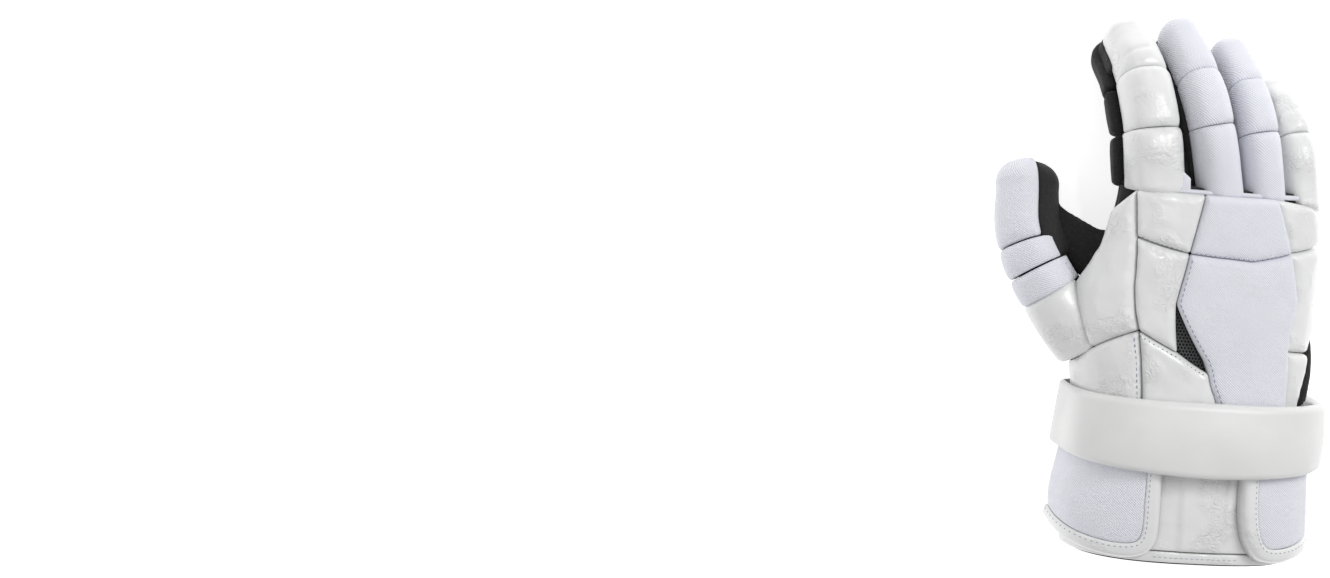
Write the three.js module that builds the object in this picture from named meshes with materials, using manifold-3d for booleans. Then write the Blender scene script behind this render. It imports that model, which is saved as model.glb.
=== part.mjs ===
// A padded field player's lacrosse glove for the right hand, lying palm down.
// Millimetres. X runs across the hand towards the little finger, Y towards the fingertips, Z up.
// The black inner glove is hollow: palm, back liner, crotch wall and five sleeves. Foam pads sit on
// its back, each laid out as a flat pattern and wrapped round the hand, a finger or the cuff.
import * as THREE from "three";
import { mergeVertices } from "three/addons/utils/BufferGeometryUtils.js";
import Module from "manifold-3d";

// Driving dimensions
const HAND_LENGTH = 125; // wrist line to knuckle line
const CUFF_LENGTH = 100; // wrist line to hem
const HAND_WIDTH = 122; // inner glove across the knuckles
const CUFF_WIDTH = 140; // cuff liner across the hem
const BACK_HEIGHT = 78; // floor to the back liner
const CUFF_HEIGHT = 89; // floor to the top of the cuff liner
const FINGER_REACH = 100; // middle finger, knuckle line to the last joint's centre
const FINGER_WIDTH = 26; // sleeve, square in section before its corners are rounded
const THUMB_WIDTH = 30;
const SKEW = 0.12; // the little finger's side sits nearer the wrist, per millimetre across
const SKEW_CENTRE = 15; // where the skew leaves Y as it is
const LEATHER = 2; // wall of the inner glove
const CUFF_WALL = 3;
const CROTCH_WALL = 2.5; // the wall that the fingers leave the hand through
const WEB_THICKNESS = 3;
const BACK_PAD = 12; // thickness of the pads on the back of the hand
const ULNAR_PAD = 9; // and of those that turn down over its little finger's side
const FINGER_PAD = 12;
const THUMB_PAD = 10;
const SIDE_PAD = 8; // black pads on the index finger's thumb side
const VENT_THICKNESS = 3.5;
const PANEL_THICKNESS = 3.6; // cuff back panel
const PANEL_TOP = -8.3; // where it starts, under the strap
const HEM_WIDTH = 7; // leather band along the hem
const FLAP_THICKNESS = 6.5;
const BAND_WIDTH = 7.5; // leather binding on the flaps
const BAND_PROUD = 0.8; // how far a binding stands over its flap
const STRAP_WIDTH = 45; // on the back; it narrows a little towards the palm
const STRAP_THICKNESS = 6.5;
const STRAP_PALM_THICKNESS = 3;
const GAP = 0.4; // clearance between neighbours
const SEAM = 0.7; // and between pads that share a seam
const SEAT = 0.9; // a layer's underside over the one it is sewn to
const FINGER_SEAT = 1.15; // the same on a finger's tighter curve
const SHOULDER = 4; // how far a pad's rounded edge reaches in
const SQUARENESS = 2.6; // exponent of the hand's and the cuff's sections
const FINGER_SQUARENESS = 2.7;
const FLAP_SEAT = SEAT + PANEL_THICKNESS + 1.5 * SEAT; // the flaps lie on the back panel
const STRAP_SEAT = SEAT + BACK_PAD + SEAM; // and the strap over the flaps and the wrist pads

// Sections of the inner glove and cuff. "along" is a share of the hand's or, when negative, of the
// cuff's length from the wrist line. "centre", "left" and "right" are shares of the width there, "top"
// and "bottom" of the height.
const SECTIONS = [
  { along: -1.0, centre: 0.093, left: 0.495, right: 0.475, top: 0.99, bottom: -0.012 },
  { along: -0.67, centre: 0.1, left: 0.495, right: 0.475, top: 0.995, bottom: -0.012 },
  { along: -0.3, centre: 0.136, left: 0.462, right: 0.44, top: 0.95, bottom: 0.09 },
  { along: 0.0, centre: 0.164, left: 0.492, right: 0.535, top: 1.013, bottom: 0.14 },
  { along: 0.2, centre: 0.197, left: 0.54, right: 0.54, top: 1.0, bottom: 0.24 },
  { along: 0.35, centre: 0.213, left: 0.582, right: 0.5, top: 0.99, bottom: 0.3 },
  { along: 0.5, centre: 0.238, left: 0.59, right: 0.485, top: 0.975, bottom: 0.36 },
  { along: 0.67, centre: 0.262, left: 0.54, right: 0.48, top: 0.955, bottom: 0.4 },
  { along: 1.0, centre: 0.287, left: 0.48, right: 0.485, top: 0.91, bottom: 0.46 },
];

// Fingers. "across" is the base's place from the knuckle section's centre as a share of HAND_WIDTH,
// "rise" its height in that section, "yaw" degrees towards the thumb. "slim" scales the sleeve, "spread"
// is how much of its pads' thickness also goes sideways, "taper" the sleeve's scale at the last joint.
// "reach" is each bone as a share of FINGER_REACH, "dip" its slope in degrees.
const FINGERS = [
  {
    name: "index", across: -0.336, rise: 0.5, yaw: 0.5, slim: 1, spread: 0.2, taper: 0.86,
    reach: [0.325, 0.3, 0.31], dip: [5, 29, 54],
  },
  {
    name: "middle", across: 0, rise: 0.56, yaw: 5.8, slim: 0.86, spread: 0.12, taper: 0.9,
    reach: [0.38, 0.28, 0.33], dip: [5, 30, 52],
  },
  {
    name: "ring", across: 0.232, rise: 0.52, yaw: 3.2, slim: 0.81, spread: 0.07, taper: 1,
    reach: [0.34, 0.27, 0.28], dip: [7, 35, 58],
  },
  {
    name: "pinky", across: 0.44, rise: 0.3, yaw: 2.6, slim: 0.78, spread: 0.07, taper: 0.95,
    reach: [0.3, 0.35], dip: [12, 57],
  },
];
const THUMB_TAPER = 0.86; // the same for the thumb
const TIP_LIFT = 0.35; // share of a pad's thickness left at the fingertip
const TIP_RINGS = [0, 0.42, 0.72]; // a sleeve's rings past its last joint, as shares of its radius

// The thumb's spine, from inside the palm to the last joint: shares of HAND_WIDTH, HAND_LENGTH and
// BACK_HEIGHT.
const THUMB_SPINE = [
  { across: -0.24, along: 0.14, height: 0.56 },
  { across: -0.4, along: 0.37, height: 0.53 },
  { across: -0.49, along: 0.52, height: 0.49 },
  { across: -0.56, along: 0.67, height: 0.41 },
  { across: -0.585, along: 0.83, height: 0.3 },
  { across: -0.56, along: 1.01, height: 0.175 },
];
const THUMB_BACK = { x: -0.7, y: -0.05, z: 0.71 }; // the way the thumb's pads face
// Where the thumb's pads start and end, as shares of the spine's length, and their sides in quarter turns.
const THUMB_PADS = [
  { name: "thumb_root_pad", from: 0.185, to: 0.46, left: -0.95, right: 0.6 },
  { name: "thumb_third_pad", from: 0.465, to: 0.585, left: -0.95, right: 0.75 },
  { name: "thumb_second_pad", from: 0.59, to: 0.705, left: -0.95, right: 0.7 },
  { name: "thumb_tip_pad", from: 0.71, to: "tip", left: -0.95, right: 0.62 },
];
// The black web between thumb and hand: where it leaves each, from the crotch to its free edge, as
// shares of the thumb's and the hand's length, and how far the free edge is drawn in.
const THUMB_WEB = { thumb: [0.5, 0.97], hand: [0.5, 0.77], sag: 0.16 };

// Seam points on the back of the hand: quarter turns from the back's centre line towards the little
// finger, and the share of HAND_LENGTH from the wrist line.
const HAND_SEAMS = {
  webTop: { turn: -0.8, along: 0.89 },
  knuckleWeb: { turn: -0.56, along: 1.0 },
  knuckleIndex: { turn: -0.09, along: 1.0 },
  knuckleRing: { turn: 0.235, along: 1.0 },
  knucklePinky: { turn: 0.6, along: 0.97 },
  knuckleEdge: { turn: 0.8, along: 0.88 },
  metaWeb: { turn: -0.49, along: 0.775 },
  metaPlate: { turn: -0.145, along: 0.715 },
  plateTop: { turn: 0.1, along: 0.695 },
  plateRing: { turn: 0.355, along: 0.74 },
  metaEdge: { turn: 0.8, along: 0.77 },
  webSide: { turn: -0.84, along: 0.72 },
  thumbCrotch: { turn: -1.0, along: 0.52 },
  webLow: { turn: -0.76, along: 0.215 },
  wristMeta: { turn: -0.36, along: 0.33 },
  ventTop: { turn: -0.17, along: 0.47 },
  ventMeta: { turn: -0.15, along: 0.235 },
  ventPlate: { turn: -0.03, along: 0.2 },
  ventWrist: { turn: -0.015, along: 0.145 },
  plateWaist: { turn: 0.45, along: 0.5 },
  plateLowRight: { turn: 0.37, along: 0.265 },
  ulnarSide: { turn: 0.86, along: 0.6 },
  ulnarLow: { turn: 0.84, along: 0.36 },
  ulnarWrist: { turn: 0.68, along: 0.25 },
  wristThumb: { turn: -1.12, along: 0.11 },
  wristRadial: { turn: -1.06, along: -0.06 },
  wristMiddle: { turn: -0.345, along: -0.06 },
  wristPlate: { turn: 0.02, along: -0.06 },
  wristUlnar: { turn: 0.4, along: -0.06 },
  wristEdge: { turn: 0.58, along: -0.06 },
};
const BACK_PADS = {
  index_knuckle_pad: ["knuckleWeb", "knuckleIndex", "metaPlate", "metaWeb"],
  central_knuckle_pad: ["knuckleIndex", "knuckleRing", "plateRing", "plateTop", "metaPlate"],
  ulnar_knuckle_pad: ["knuckleRing", "knucklePinky", "knuckleEdge", "metaEdge", "plateRing"],
  web_block: ["webTop", "knuckleWeb", "metaWeb", "wristMeta", "webLow", "thumbCrotch", "webSide"],
  index_metacarpal_pad: ["metaWeb", "metaPlate", "ventTop", "ventMeta", "wristMeta"],
  back_plate: [
    "metaPlate", "plateTop", "plateRing", "plateWaist", "plateLowRight", "wristUlnar", "wristPlate",
    "ventWrist", "ventPlate", "ventTop",
  ],
  ulnar_metacarpal_pad: [
    "plateRing", "metaEdge", "ulnarSide", "ulnarLow", "ulnarWrist", "plateLowRight", "plateWaist",
  ],
  radial_wrist_pad: ["wristThumb", "webLow", "wristMeta", "wristMiddle", "wristRadial"],
  middle_wrist_pad: ["wristMeta", "ventMeta", "ventWrist", "wristPlate", "wristMiddle"],
  ulnar_wrist_pad: ["plateLowRight", "ulnarWrist", "wristEdge", "wristUlnar"],
};
const VENT_SEAMS = ["ventTop", "ventPlate", "ventWrist", "ventMeta"];
const LEATHER_PADS = [
  "index_knuckle_pad", "ulnar_knuckle_pad", "web_block", "index_metacarpal_pad", "ulnar_metacarpal_pad",
  "radial_wrist_pad", "middle_wrist_pad", "ulnar_wrist_pad",
];

// Corners of the cuff's flaps: quarter turns, and the share of CUFF_LENGTH from the wrist line. A corner
// whose "banded" is set starts an edge that carries the leather binding.
const FLAPS = {
  radial_flap: [
    { turn: -1.06, along: -0.085 },
    { turn: -0.19, along: -0.085 },
    { turn: -0.19, along: -0.46, banded: true },
    { turn: -0.17, along: -0.74, banded: true },
    { turn: -0.2, along: -0.9, banded: true },
    { turn: -0.31, along: -0.97, banded: true },
    { turn: -0.62, along: -0.96, banded: true },
    { turn: -0.98, along: -0.89, banded: true },
    { turn: -1.06, along: -0.85 },
  ],
  ulnar_flap: [
    { turn: 0.12, along: -0.085 },
    { turn: 1.0, along: -0.085 },
    { turn: 1.0, along: -0.76, banded: true },
    { turn: 0.88, along: -0.88, banded: true },
    { turn: 0.5, along: -0.955, banded: true },
    { turn: 0.25, along: -0.965, banded: true },
    { turn: 0.16, along: -0.88, banded: true },
    { turn: 0.12, along: -0.7, banded: true },
    { turn: 0.12, along: -0.46 },
  ],
};

const wasm = await Module();
wasm.setup();

const mix = (a, b, share) => a + (b - a) * share;
const signedPower = (value, power) => Math.sign(value) * Math.abs(value) ** power;
const evenly = (count, make) => Array.from({ length: count }, (_, i) => make(i));

// Solids
function solidFrom(points, triangles) {
  const geometry = new THREE.BufferGeometry();
  const positions = points.flatMap((point) => [point.x, point.y, point.z]);
  geometry.setAttribute("position", new THREE.Float32BufferAttribute(positions, 3));
  geometry.setIndex(triangles.flat());
  const merged = mergeVertices(geometry, 1e-4);
  const solid = new wasm.Manifold(
    new wasm.Mesh({
      numProp: 3,
      vertProperties: merged.attributes.position.array,
      triVerts: new Uint32Array(merged.index.array),
    }),
  );
  return solid.volume() < 0 ? solidFrom(points, triangles.map(([a, b, c]) => [a, c, b])) : solid;
}

// Cuts leave a few edges shorter than "crumb"; their ends are joined and the triangles on them dropped.
function geometryFrom(solid, crumb = 0.06) {
  const mesh = solid.getMesh();
  const points = evenly(mesh.vertProperties.length / 3, (i) =>
    new THREE.Vector3().fromArray(mesh.vertProperties, 3 * i),
  );
  const stands = points.map((_, i) => i);
  const find = (i) => (stands[i] === i ? i : find(stands[i]));
  const corners = Array.from(mesh.triVerts);
  const triangles = evenly(corners.length / 3, (i) => corners.slice(3 * i, 3 * i + 3));
  for (const [a, b, c] of triangles) {
    for (const [p, q] of [[a, b], [b, c], [c, a]]) {
      if (points[p].distanceTo(points[q]) < crumb) stands[find(p)] = find(q);
    }
  }
  const kept = triangles.map((face) => face.map(find)).filter(([a, b, c]) => a !== b && b !== c && c !== a);
  const geometry = new THREE.BufferGeometry();
  const positions = kept.flat().flatMap((i) => points[i].toArray());
  geometry.setAttribute("position", new THREE.Float32BufferAttribute(positions, 3));
  const merged = mergeVertices(geometry, 1e-5);
  merged.computeVertexNormals();
  return merged;
}

// Triangles that fill a closed ring, drawn in the ring's own plane because it may bend round a hollow
function fill(ring) {
  const normal = new THREE.Vector3();
  ring.forEach((point, i) =>
    normal.add(new THREE.Vector3().crossVectors(point, ring[(i + 1) % ring.length])),
  );
  normal.normalize();
  const across = new THREE.Vector3().subVectors(ring[1], ring[0]).projectOnPlane(normal).normalize();
  const up = new THREE.Vector3().crossVectors(normal, across);
  const flat = ring.map((point) => new THREE.Vector2(point.dot(across), point.dot(up)));
  return THREE.ShapeUtils.triangulateShape(flat, []);
}

// Joins rings of points into a solid. The first and the last ring are filled, unless they meet.
function loft(rings, meet = false) {
  const count = rings[0].length;
  const points = rings.flat();
  const triangles = [];
  for (let row = 0; row < (meet ? rings.length : rings.length - 1); row++) {
    const next = (row + 1) % rings.length;
    for (let i = 0; i < count; i++) {
      const j = (i + 1) % count;
      triangles.push([row * count + i, row * count + j, next * count + j]);
      triangles.push([row * count + i, next * count + j, next * count + i]);
    }
  }
  if (!meet) {
    const lastRow = (rings.length - 1) * count;
    triangles.push(...fill(rings[0]).map((face) => face.toReversed()));
    triangles.push(...fill(rings.at(-1)).map((face) => face.map((i) => lastRow + i)));
  }
  return solidFrom(points, triangles);
}

// The surface of the hand and cuff
function sectionAt(y) {
  const rows = SECTIONS.map((row) => {
    const [length, width, height] =
      row.along < 0 ? [CUFF_LENGTH, CUFF_WIDTH, CUFF_HEIGHT] : [HAND_LENGTH, HAND_WIDTH, BACK_HEIGHT];
    const [centre, left, right] = [row.centre * width, row.left * width, row.right * width];
    return [row.along * length, centre, left, right, row.top * height, row.bottom * height];
  });
  const place = THREE.MathUtils.clamp(y, rows[0][0], rows.at(-1)[0]);
  const next = Math.max(1, rows.findIndex((row) => row[0] >= place));
  const share = (place - rows[next - 1][0]) / (rows[next][0] - rows[next - 1][0]);
  const between = rows[next].map((value, i) => mix(rows[next - 1][i], value, share));
  const [, centre, left, right, top, bottom] = between;
  return { centre, left, right, top, bottom };
}

// The point "lift" outside the liner, "turn" quarter turns round it from the back, "y" from the wrist line
function handPoint(turn, y, lift) {
  const section = sectionAt(y);
  const [sine, cosine] = [Math.sin((turn * Math.PI) / 2), Math.cos((turn * Math.PI) / 2)];
  const halfWidth = (sine < 0 ? section.left : section.right) + lift;
  const halfHeight = (section.top - section.bottom) / 2 + lift;
  const x = section.centre + halfWidth * signedPower(sine, 2 / SQUARENESS);
  const z = (section.top + section.bottom) / 2 + halfHeight * signedPower(cosine, 2 / SQUARENESS);
  return new THREE.Vector3(x, y - SKEW * (x - SKEW_CENTRE), z);
}

// A finger: a spine, and a section that rounds over past the spine's end
class Finger {
  constructor(name, points, back, width, taper) {
    this.name = name;
    this.taper = taper;
    this.back = back;
    this.radius = width / 2;
    this.quarter = (Math.PI / 2) * this.radius;
    this.curve = new THREE.CatmullRomCurve3(points, false, "catmullrom", 0.5);
    this.length = this.curve.getLength();
  }

  frame(s) {
    const share = THREE.MathUtils.clamp(s / this.length, 0, 1);
    const along = this.curve.getTangentAt(share);
    const place = this.curve.getPointAt(share).addScaledVector(along, s - share * this.length);
    const back = this.back.clone().addScaledVector(along, -this.back.dot(along)).normalize();
    return { place, back, side: new THREE.Vector3().crossVectors(along, back) };
  }

  // "spread" is the share of a pad's thickness that also goes sideways.
  point(turn, s, lift, spread = 0.25) {
    const past = (THREE.MathUtils.clamp((s - this.length) / this.radius, 0, 1) * Math.PI) / 2;
    const ahead = Math.min(lift, SEAT) + Math.max(lift - SEAT, 0) * TIP_LIFT;
    const reach = Math.min(s, this.length) + (this.radius * this.taper + ahead) * Math.sin(past);
    const { place, back, side } = this.frame(reach);
    const towardsTip = THREE.MathUtils.smoothstep(s, this.length * 0.5, this.length);
    const radius = this.radius * mix(1, this.taper, towardsTip);
    const [sine, cosine] = [Math.sin((turn * Math.PI) / 2), Math.cos((turn * Math.PI) / 2)];
    const aside = Math.min(lift, FINGER_SEAT) + Math.max(lift - FINGER_SEAT, 0) * spread;
    const across = (radius + aside) * Math.cos(past) * signedPower(sine, 2 / FINGER_SQUARENESS);
    const up = (radius + lift) * Math.cos(past) * signedPower(cosine, 2 / FINGER_SQUARENESS);
    return place.addScaledVector(side, across).addScaledVector(back, up);
  }

  // Rings of the sleeve, "lift" outside it, from "from" along the spine over the tip
  rings(from, lift, around) {
    const steps = Math.max(3, Math.round((this.length - from) / 20));
    const stations = evenly(steps, (i) => mix(from, this.length, i / steps));
    stations.push(...TIP_RINGS.map((share) => this.length + this.radius * share));
    return stations.map((s) => evenly(around, (i) => this.point((4 * i) / around, s, lift, 1)));
  }

  solid(from, lift, around = 12) {
    return loft(this.rings(from, lift, around));
  }

  sleeve(from) {
    return this.solid(from, 0).subtract(this.solid(from - 2, -LEATHER, 8));
  }

  // A straight plug where the finger leaves the hand
  plug(lift) {
    return loft([-10, 10].map((s) => evenly(12, (i) => this.point(i / 3, s, lift, 1))));
  }
}

// Flat patterns
function offsetOutline(outline, distance) {
  const count = outline.length;
  const distances = Array.isArray(distance) ? distance : outline.map(() => distance);
  const area = outline.reduce((sum, [x, y], i) => {
    const [nextX, nextY] = outline[(i + 1) % count];
    return sum + x * nextY - nextX * y;
  }, 0);
  const normals = outline.map(([x, y], i) => {
    const [nextX, nextY] = outline[(i + 1) % count];
    const length = Math.hypot(nextX - x, nextY - y) * Math.sign(area);
    return [(y - nextY) / length, (nextX - x) / length];
  });
  return outline.map(([x, y], i) => {
    const before = (i + count - 1) % count;
    const [[ax, ay], [bx, by]] = [normals[before], normals[i]];
    const [a, b] = [distances[before], distances[i]];
    const cross = ax * by - ay * bx;
    if (Math.abs(cross) < 0.08) return [x + (ax * a + bx * b) / 2, y + (ay * a + by * b) / 2];
    return [x + (a * by - b * ay) / cross, y + (ax * b - bx * a) / cross];
  });
}

// Rounds the sharp corners; a corner that turns little stays one point.
function roundCorners(outline, radius) {
  return outline.flatMap((point, i) => {
    const ends = [outline[(i + outline.length - 1) % outline.length], outline[(i + 1) % outline.length]];
    const ways = ends.map((other) => [other[0] - point[0], other[1] - point[1]]);
    const lengths = ways.map(([x, y]) => Math.hypot(x, y));
    const cosine = (ways[0][0] * ways[1][0] + ways[0][1] * ways[1][1]) / (lengths[0] * lengths[1]);
    if (cosine < -0.82) return [point];
    const [a, b] = ways.map(([x, y], k) => {
      const share = Math.min(radius, lengths[k] * 0.4) / lengths[k];
      return [point[0] + x * share, point[1] + y * share];
    });
    return [a, [(a[0] + b[0] + 2 * point[0]) / 4, (a[1] + b[1] + 2 * point[1]) / 4], b];
  });
}

// Splits every edge longer than "longest" until none is left. Lengths along Y count "stretch" of their own.
function splitLong(points, triangles, longest, stretch) {
  const middles = new Map();
  const middleOf = (a, b) => {
    const key = a < b ? `${a}_${b}` : `${b}_${a}`;
    if (!middles.has(key)) {
      middles.set(key, points.length);
      points.push(points[a].map((value, i) => (value + points[b][i]) / 2));
    }
    return middles.get(key);
  };
  const isLong = ([a, b]) => {
    const [dx, dy, dz] = points[a].map((value, i) => value - points[b][i]);
    return Math.hypot(dx, dy * stretch, dz) > longest;
  };
  const next = triangles.flatMap(([p, q, r]) => {
    const turns = [[p, q, r], [q, r, p], [r, p, q]];
    const long = turns.filter(isLong);
    if (!long.length) return [[p, q, r]];
    if (long.length === 3) {
      const [a, b, c] = turns.map(([from, to]) => middleOf(from, to));
      return [[p, a, c], [a, q, b], [c, b, r], [a, b, c]];
    }
    if (long.length === 1) {
      const [a, b, c] = long[0];
      const middle = middleOf(a, b);
      return [[a, middle, c], [middle, b, c]];
    }
    const [a, b, c] = turns.find((turn) => isLong(turn) && isLong([turn[1], turn[2]]));
    const [first, second] = [middleOf(a, b), middleOf(b, c)];
    return [[first, b, second], [a, first, second], [a, second, c]];
  });
  return next.length === triangles.length ? triangles : splitLong(points, next, longest, stretch);
}

// A pad: a flat base, upright sides and rounded shoulders, cut from the outline, then wrapped by
// "wrap(x, y, lift)"
function pad(wrap, outline, options) {
  const { thickness, seat = SEAT, shoulder = SHOULDER, corner = 4, longest = 15, grow = 0 } = options;
  const [base, top] = [seat - grow, seat + thickness + grow];
  const rings = [
    { inset: 0, lift: base },
    { inset: 0, lift: mix(base, top, 0.68) },
    { inset: shoulder, lift: top },
  ].map(({ inset, lift }) => {
    const edge = offsetOutline(outline, SEAM / 2 - grow + inset);
    return roundCorners(edge, Math.max(0.8, corner - inset * 0.6)).map(([x, y]) => [x, y, lift]);
  });
  const count = rings[0].length;
  const points = rings.flat();
  const flat = (ring) => ring.map(([x, y]) => new THREE.Vector2(x, y));
  const triangles = THREE.ShapeUtils.triangulateShape(flat(rings[0]), []).map(([a, b, c]) => [a, c, b]);
  for (let row = 0; row < rings.length - 1; row++) {
    for (let i = 0; i < count; i++) {
      const j = (i + 1) % count;
      triangles.push([row * count + i, row * count + j, (row + 1) * count + j]);
      triangles.push([row * count + i, (row + 1) * count + j, (row + 1) * count + i]);
    }
  }
  const lastRow = (rings.length - 1) * count;
  const cap = THREE.ShapeUtils.triangulateShape(flat(rings.at(-1)), []);
  triangles.push(...cap.map((face) => face.map((i) => lastRow + i)));
  const split = splitLong(points, triangles, longest, 0.55);
  return solidFrom(points.map(([x, y, lift]) => wrap(x, y, lift)), split);
}

const HAND_QUARTER = 75; // length of a quarter turn in the hand's and cuff's patterns
const wrapHand = (x, y, lift) => handPoint(x / HAND_QUARTER, y, lift);
const counterClockwise = (outline) => {
  const area = outline.reduce((sum, [x, y], i) => {
    const [nextX, nextY] = outline[(i + 1) % outline.length];
    return sum + x * nextY - nextX * y;
  }, 0);
  return area < 0 ? outline.toReversed() : outline;
};
const onHand = (seams) => {
  const rows = seams.map((name) => HAND_SEAMS[name]);
  return counterClockwise(rows.map(({ turn, along }) => [turn * HAND_QUARTER, along * HAND_LENGTH]));
};

const handPad = (seams, options) => pad(wrapHand, onHand(seams), options);

// A pad lofted along a finger. Each ring goes round the pad: its underside, then over its top. At the
// ends the top starts lower and a little further in, which rounds the edge.
function fingerPad(finger, from, to, options) {
  const { left = -0.95, right = 0.95, spread, thickness, shoulder = 3.5, grow = 0, steps = 7 } = options;
  const [base, top] = [FINGER_SEAT - grow, FINGER_SEAT + thickness + grow];
  const margin = (grow - SEAM / 2) / finger.quarter;
  const [x0, x1] = [left - margin, right + margin];
  const inset = shoulder / finger.quarter;
  const [y0, y1] = [from + SEAM / 2 - grow, to - SEAM / 2 + grow];
  const onTip = y1 > finger.length;
  const straightEnd = onTip ? finger.length : y1 - shoulder;
  const middles = Math.max(1, Math.round((straightEnd - y0 - shoulder) / 10));
  const stations = [
    { s: y0, height: 0.68 },
    ...evenly(middles + 1, (i) => ({ s: mix(y0 + shoulder, straightEnd, i / middles), height: 1 })),
    ...(onTip ? [{ s: finger.length + finger.radius * TIP_RINGS[1], height: 1 }] : []),
    { s: y1, height: 0.68 },
  ];
  const section = (height) => [
    ...evenly(steps + 1, (i) => [mix(x1, x0, i / steps), base]),
    [x0, mix(base, top, 0.68 * height)],
    ...evenly(steps, (i) => [mix(x0 + inset, x1 - inset, i / (steps - 1)), mix(base, top, height)]),
    [x1, mix(base, top, 0.68 * height)],
  ];
  const rings = stations.map(({ s, height }) =>
    section(height).map(([turn, lift]) => finger.point(turn, s, lift, spread)),
  );
  return loft(rings);
}

// Assembly
const group = new THREE.Group();
const floorBox = new THREE.BoxGeometry(900, 900, 100).translate(0, 0, -50);
const corners = evenly(floorBox.attributes.position.count, (i) =>
  new THREE.Vector3().fromBufferAttribute(floorBox.attributes.position, i),
);
const faces = evenly(12, (i) => Array.from(floorBox.index.array).slice(3 * i, 3 * i + 3));
const floor = solidFrom(corners, faces);

function add(name, solid, material) {
  const grounded = solid.boundingBox().min[2] < 0 ? solid.subtract(floor) : solid;
  const mesh = new THREE.Mesh(geometryFrom(grounded), material);
  mesh.name = name;
  group.add(mesh);
}

const finish = (color, roughness) => new THREE.MeshStandardMaterial({ color, roughness, metalness: 0 });
const leather = finish(0xe4e5e4, 0.35);
const weave = finish(0xe6e7f0, 0.85);
const black = finish(0x121212, 0.8);
const ventMesh = finish(0x4a4c4e, 0.8);
const strapLeather = finish(0xe9e9e8, 0.5);

// Fingers and thumb
const knuckles = sectionAt(HAND_LENGTH);
const fingers = FINGERS.map((row) => {
  const x = knuckles.centre + row.across * HAND_WIDTH;
  const height = mix(knuckles.bottom, knuckles.top, row.rise);
  const points = [new THREE.Vector3(x, HAND_LENGTH - SKEW * (x - SKEW_CENTRE), height)];
  row.reach.forEach((share, bone) => {
    const [yaw, dip] = [row.yaw, row.dip[bone]].map(THREE.MathUtils.degToRad);
    const [ahead, down] = [Math.cos(dip), Math.sin(dip)];
    const way = new THREE.Vector3(-Math.sin(yaw) * ahead, Math.cos(yaw) * ahead, -down);
    points.push(points.at(-1).clone().addScaledVector(way, share * FINGER_REACH));
  });
  return new Finger(row.name, points, new THREE.Vector3(0, 0, 1), FINGER_WIDTH * row.slim, row.taper);
});
const handSize = new THREE.Vector3(HAND_WIDTH, HAND_LENGTH, BACK_HEIGHT);
const thumbPoints = THUMB_SPINE.map(({ across, along, height }) =>
  new THREE.Vector3(across, along, height).multiply(handSize),
);
const thumbBack = new THREE.Vector3().copy(THUMB_BACK).normalize();
const thumb = new Finger("thumb", thumbPoints, thumbBack, THUMB_WIDTH, THUMB_TAPER);
const thumbRoot = thumb.length * 0.04;

// Whole cross-sections of the hand between two places along it, "lift" outside the liner
const handBlock = (y0, y1, lift, steps) =>
  loft(evenly(steps + 1, (k) => evenly(24, (i) => handPoint(i / 6, mix(y0, y1, k / steps), lift))));

// Inner glove
const SHELL_POINTS = 13;
function halfShell(fromTurn) {
  const margin = GAP / 2 / HAND_QUARTER;
  const [first, last] = [fromTurn + margin, fromTurn + 2 - margin];
  const turns = evenly(SHELL_POINTS, (i) => mix(first, last, i / (SHELL_POINTS - 1)));
  const section = [...turns.map((turn) => [turn, 0]), ...turns.toReversed().map((turn) => [turn, -LEATHER])];
  const rows = SECTIONS.filter(({ along }) => along >= 0).map(({ along }) =>
    section.map(([turn, lift]) => handPoint(turn, along * HAND_LENGTH, lift)),
  );
  return loft(rows);
}

const thumbGrown = thumb.solid(thumbRoot, GAP);
add("back_liner", halfShell(-1).subtract(thumbGrown), black);
add("palm", halfShell(1).subtract(thumbGrown), black);

const crotchStart = HAND_LENGTH + GAP;
const bores = fingers.map((finger) => finger.plug(-LEATHER));
const wall = handBlock(crotchStart, crotchStart + CROTCH_WALL, 0, 1);
add("finger_crotch", bores.reduce((solid, bore) => solid.subtract(bore), wall), black);

const past = (lift, y) => handBlock(HAND_LENGTH - 30, y, lift, 1);
const handEnd = past(25, crotchStart + CROTCH_WALL + GAP);
const knucklesGrown = past(25, HAND_LENGTH + SEAM / 2).add(past(GAP, crotchStart + CROTCH_WALL + GAP));
for (const finger of fingers) add(`${finger.name}_sleeve`, finger.sleeve(-8).subtract(handEnd), black);
const handInside = handBlock(-1, HAND_LENGTH, -LEATHER - GAP, 8);
add("thumb_sleeve", thumb.sleeve(thumbRoot).subtract(handInside), black);

// Finger pads
FINGERS.forEach((row, index) => {
  const finger = fingers[index];
  const [start, end] = [-2, finger.length + finger.radius * TIP_RINGS.at(-1)];
  const joints = row.reach
    .slice(0, -1)
    .map((_, bone) => row.reach.slice(0, bone + 1).reduce((a, b) => a + b) * FINGER_REACH);
  const stops = [start, ...joints, end];
  const parts = joints.length === 2 ? ["base", "middle", "tip"] : ["base", "tip"];
  parts.forEach((part, i) => {
    const look = row.name === "index" || row.name === "pinky" ? leather : weave;
    const cut = (solid) => (part === "base" ? solid.subtract(knucklesGrown) : solid);
    const shape = { thickness: FINGER_PAD, spread: row.spread };
    add(`${row.name}_${part}_pad`, cut(fingerPad(finger, stops[i], stops[i + 1], shape)), look);
    if (row.name !== "index") return;
    const side = { thickness: SIDE_PAD, left: -1.72, right: -1.04, spread: 1, shoulder: 2, steps: 3 };
    const sideEnd = part === "tip" ? finger.length + finger.radius * 0.5 : stops[i + 1];
    add(`index_side_${part}_pad`, cut(fingerPad(finger, stops[i] + 0.6, sideEnd - 0.6, side)), black);
  });
});

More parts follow.
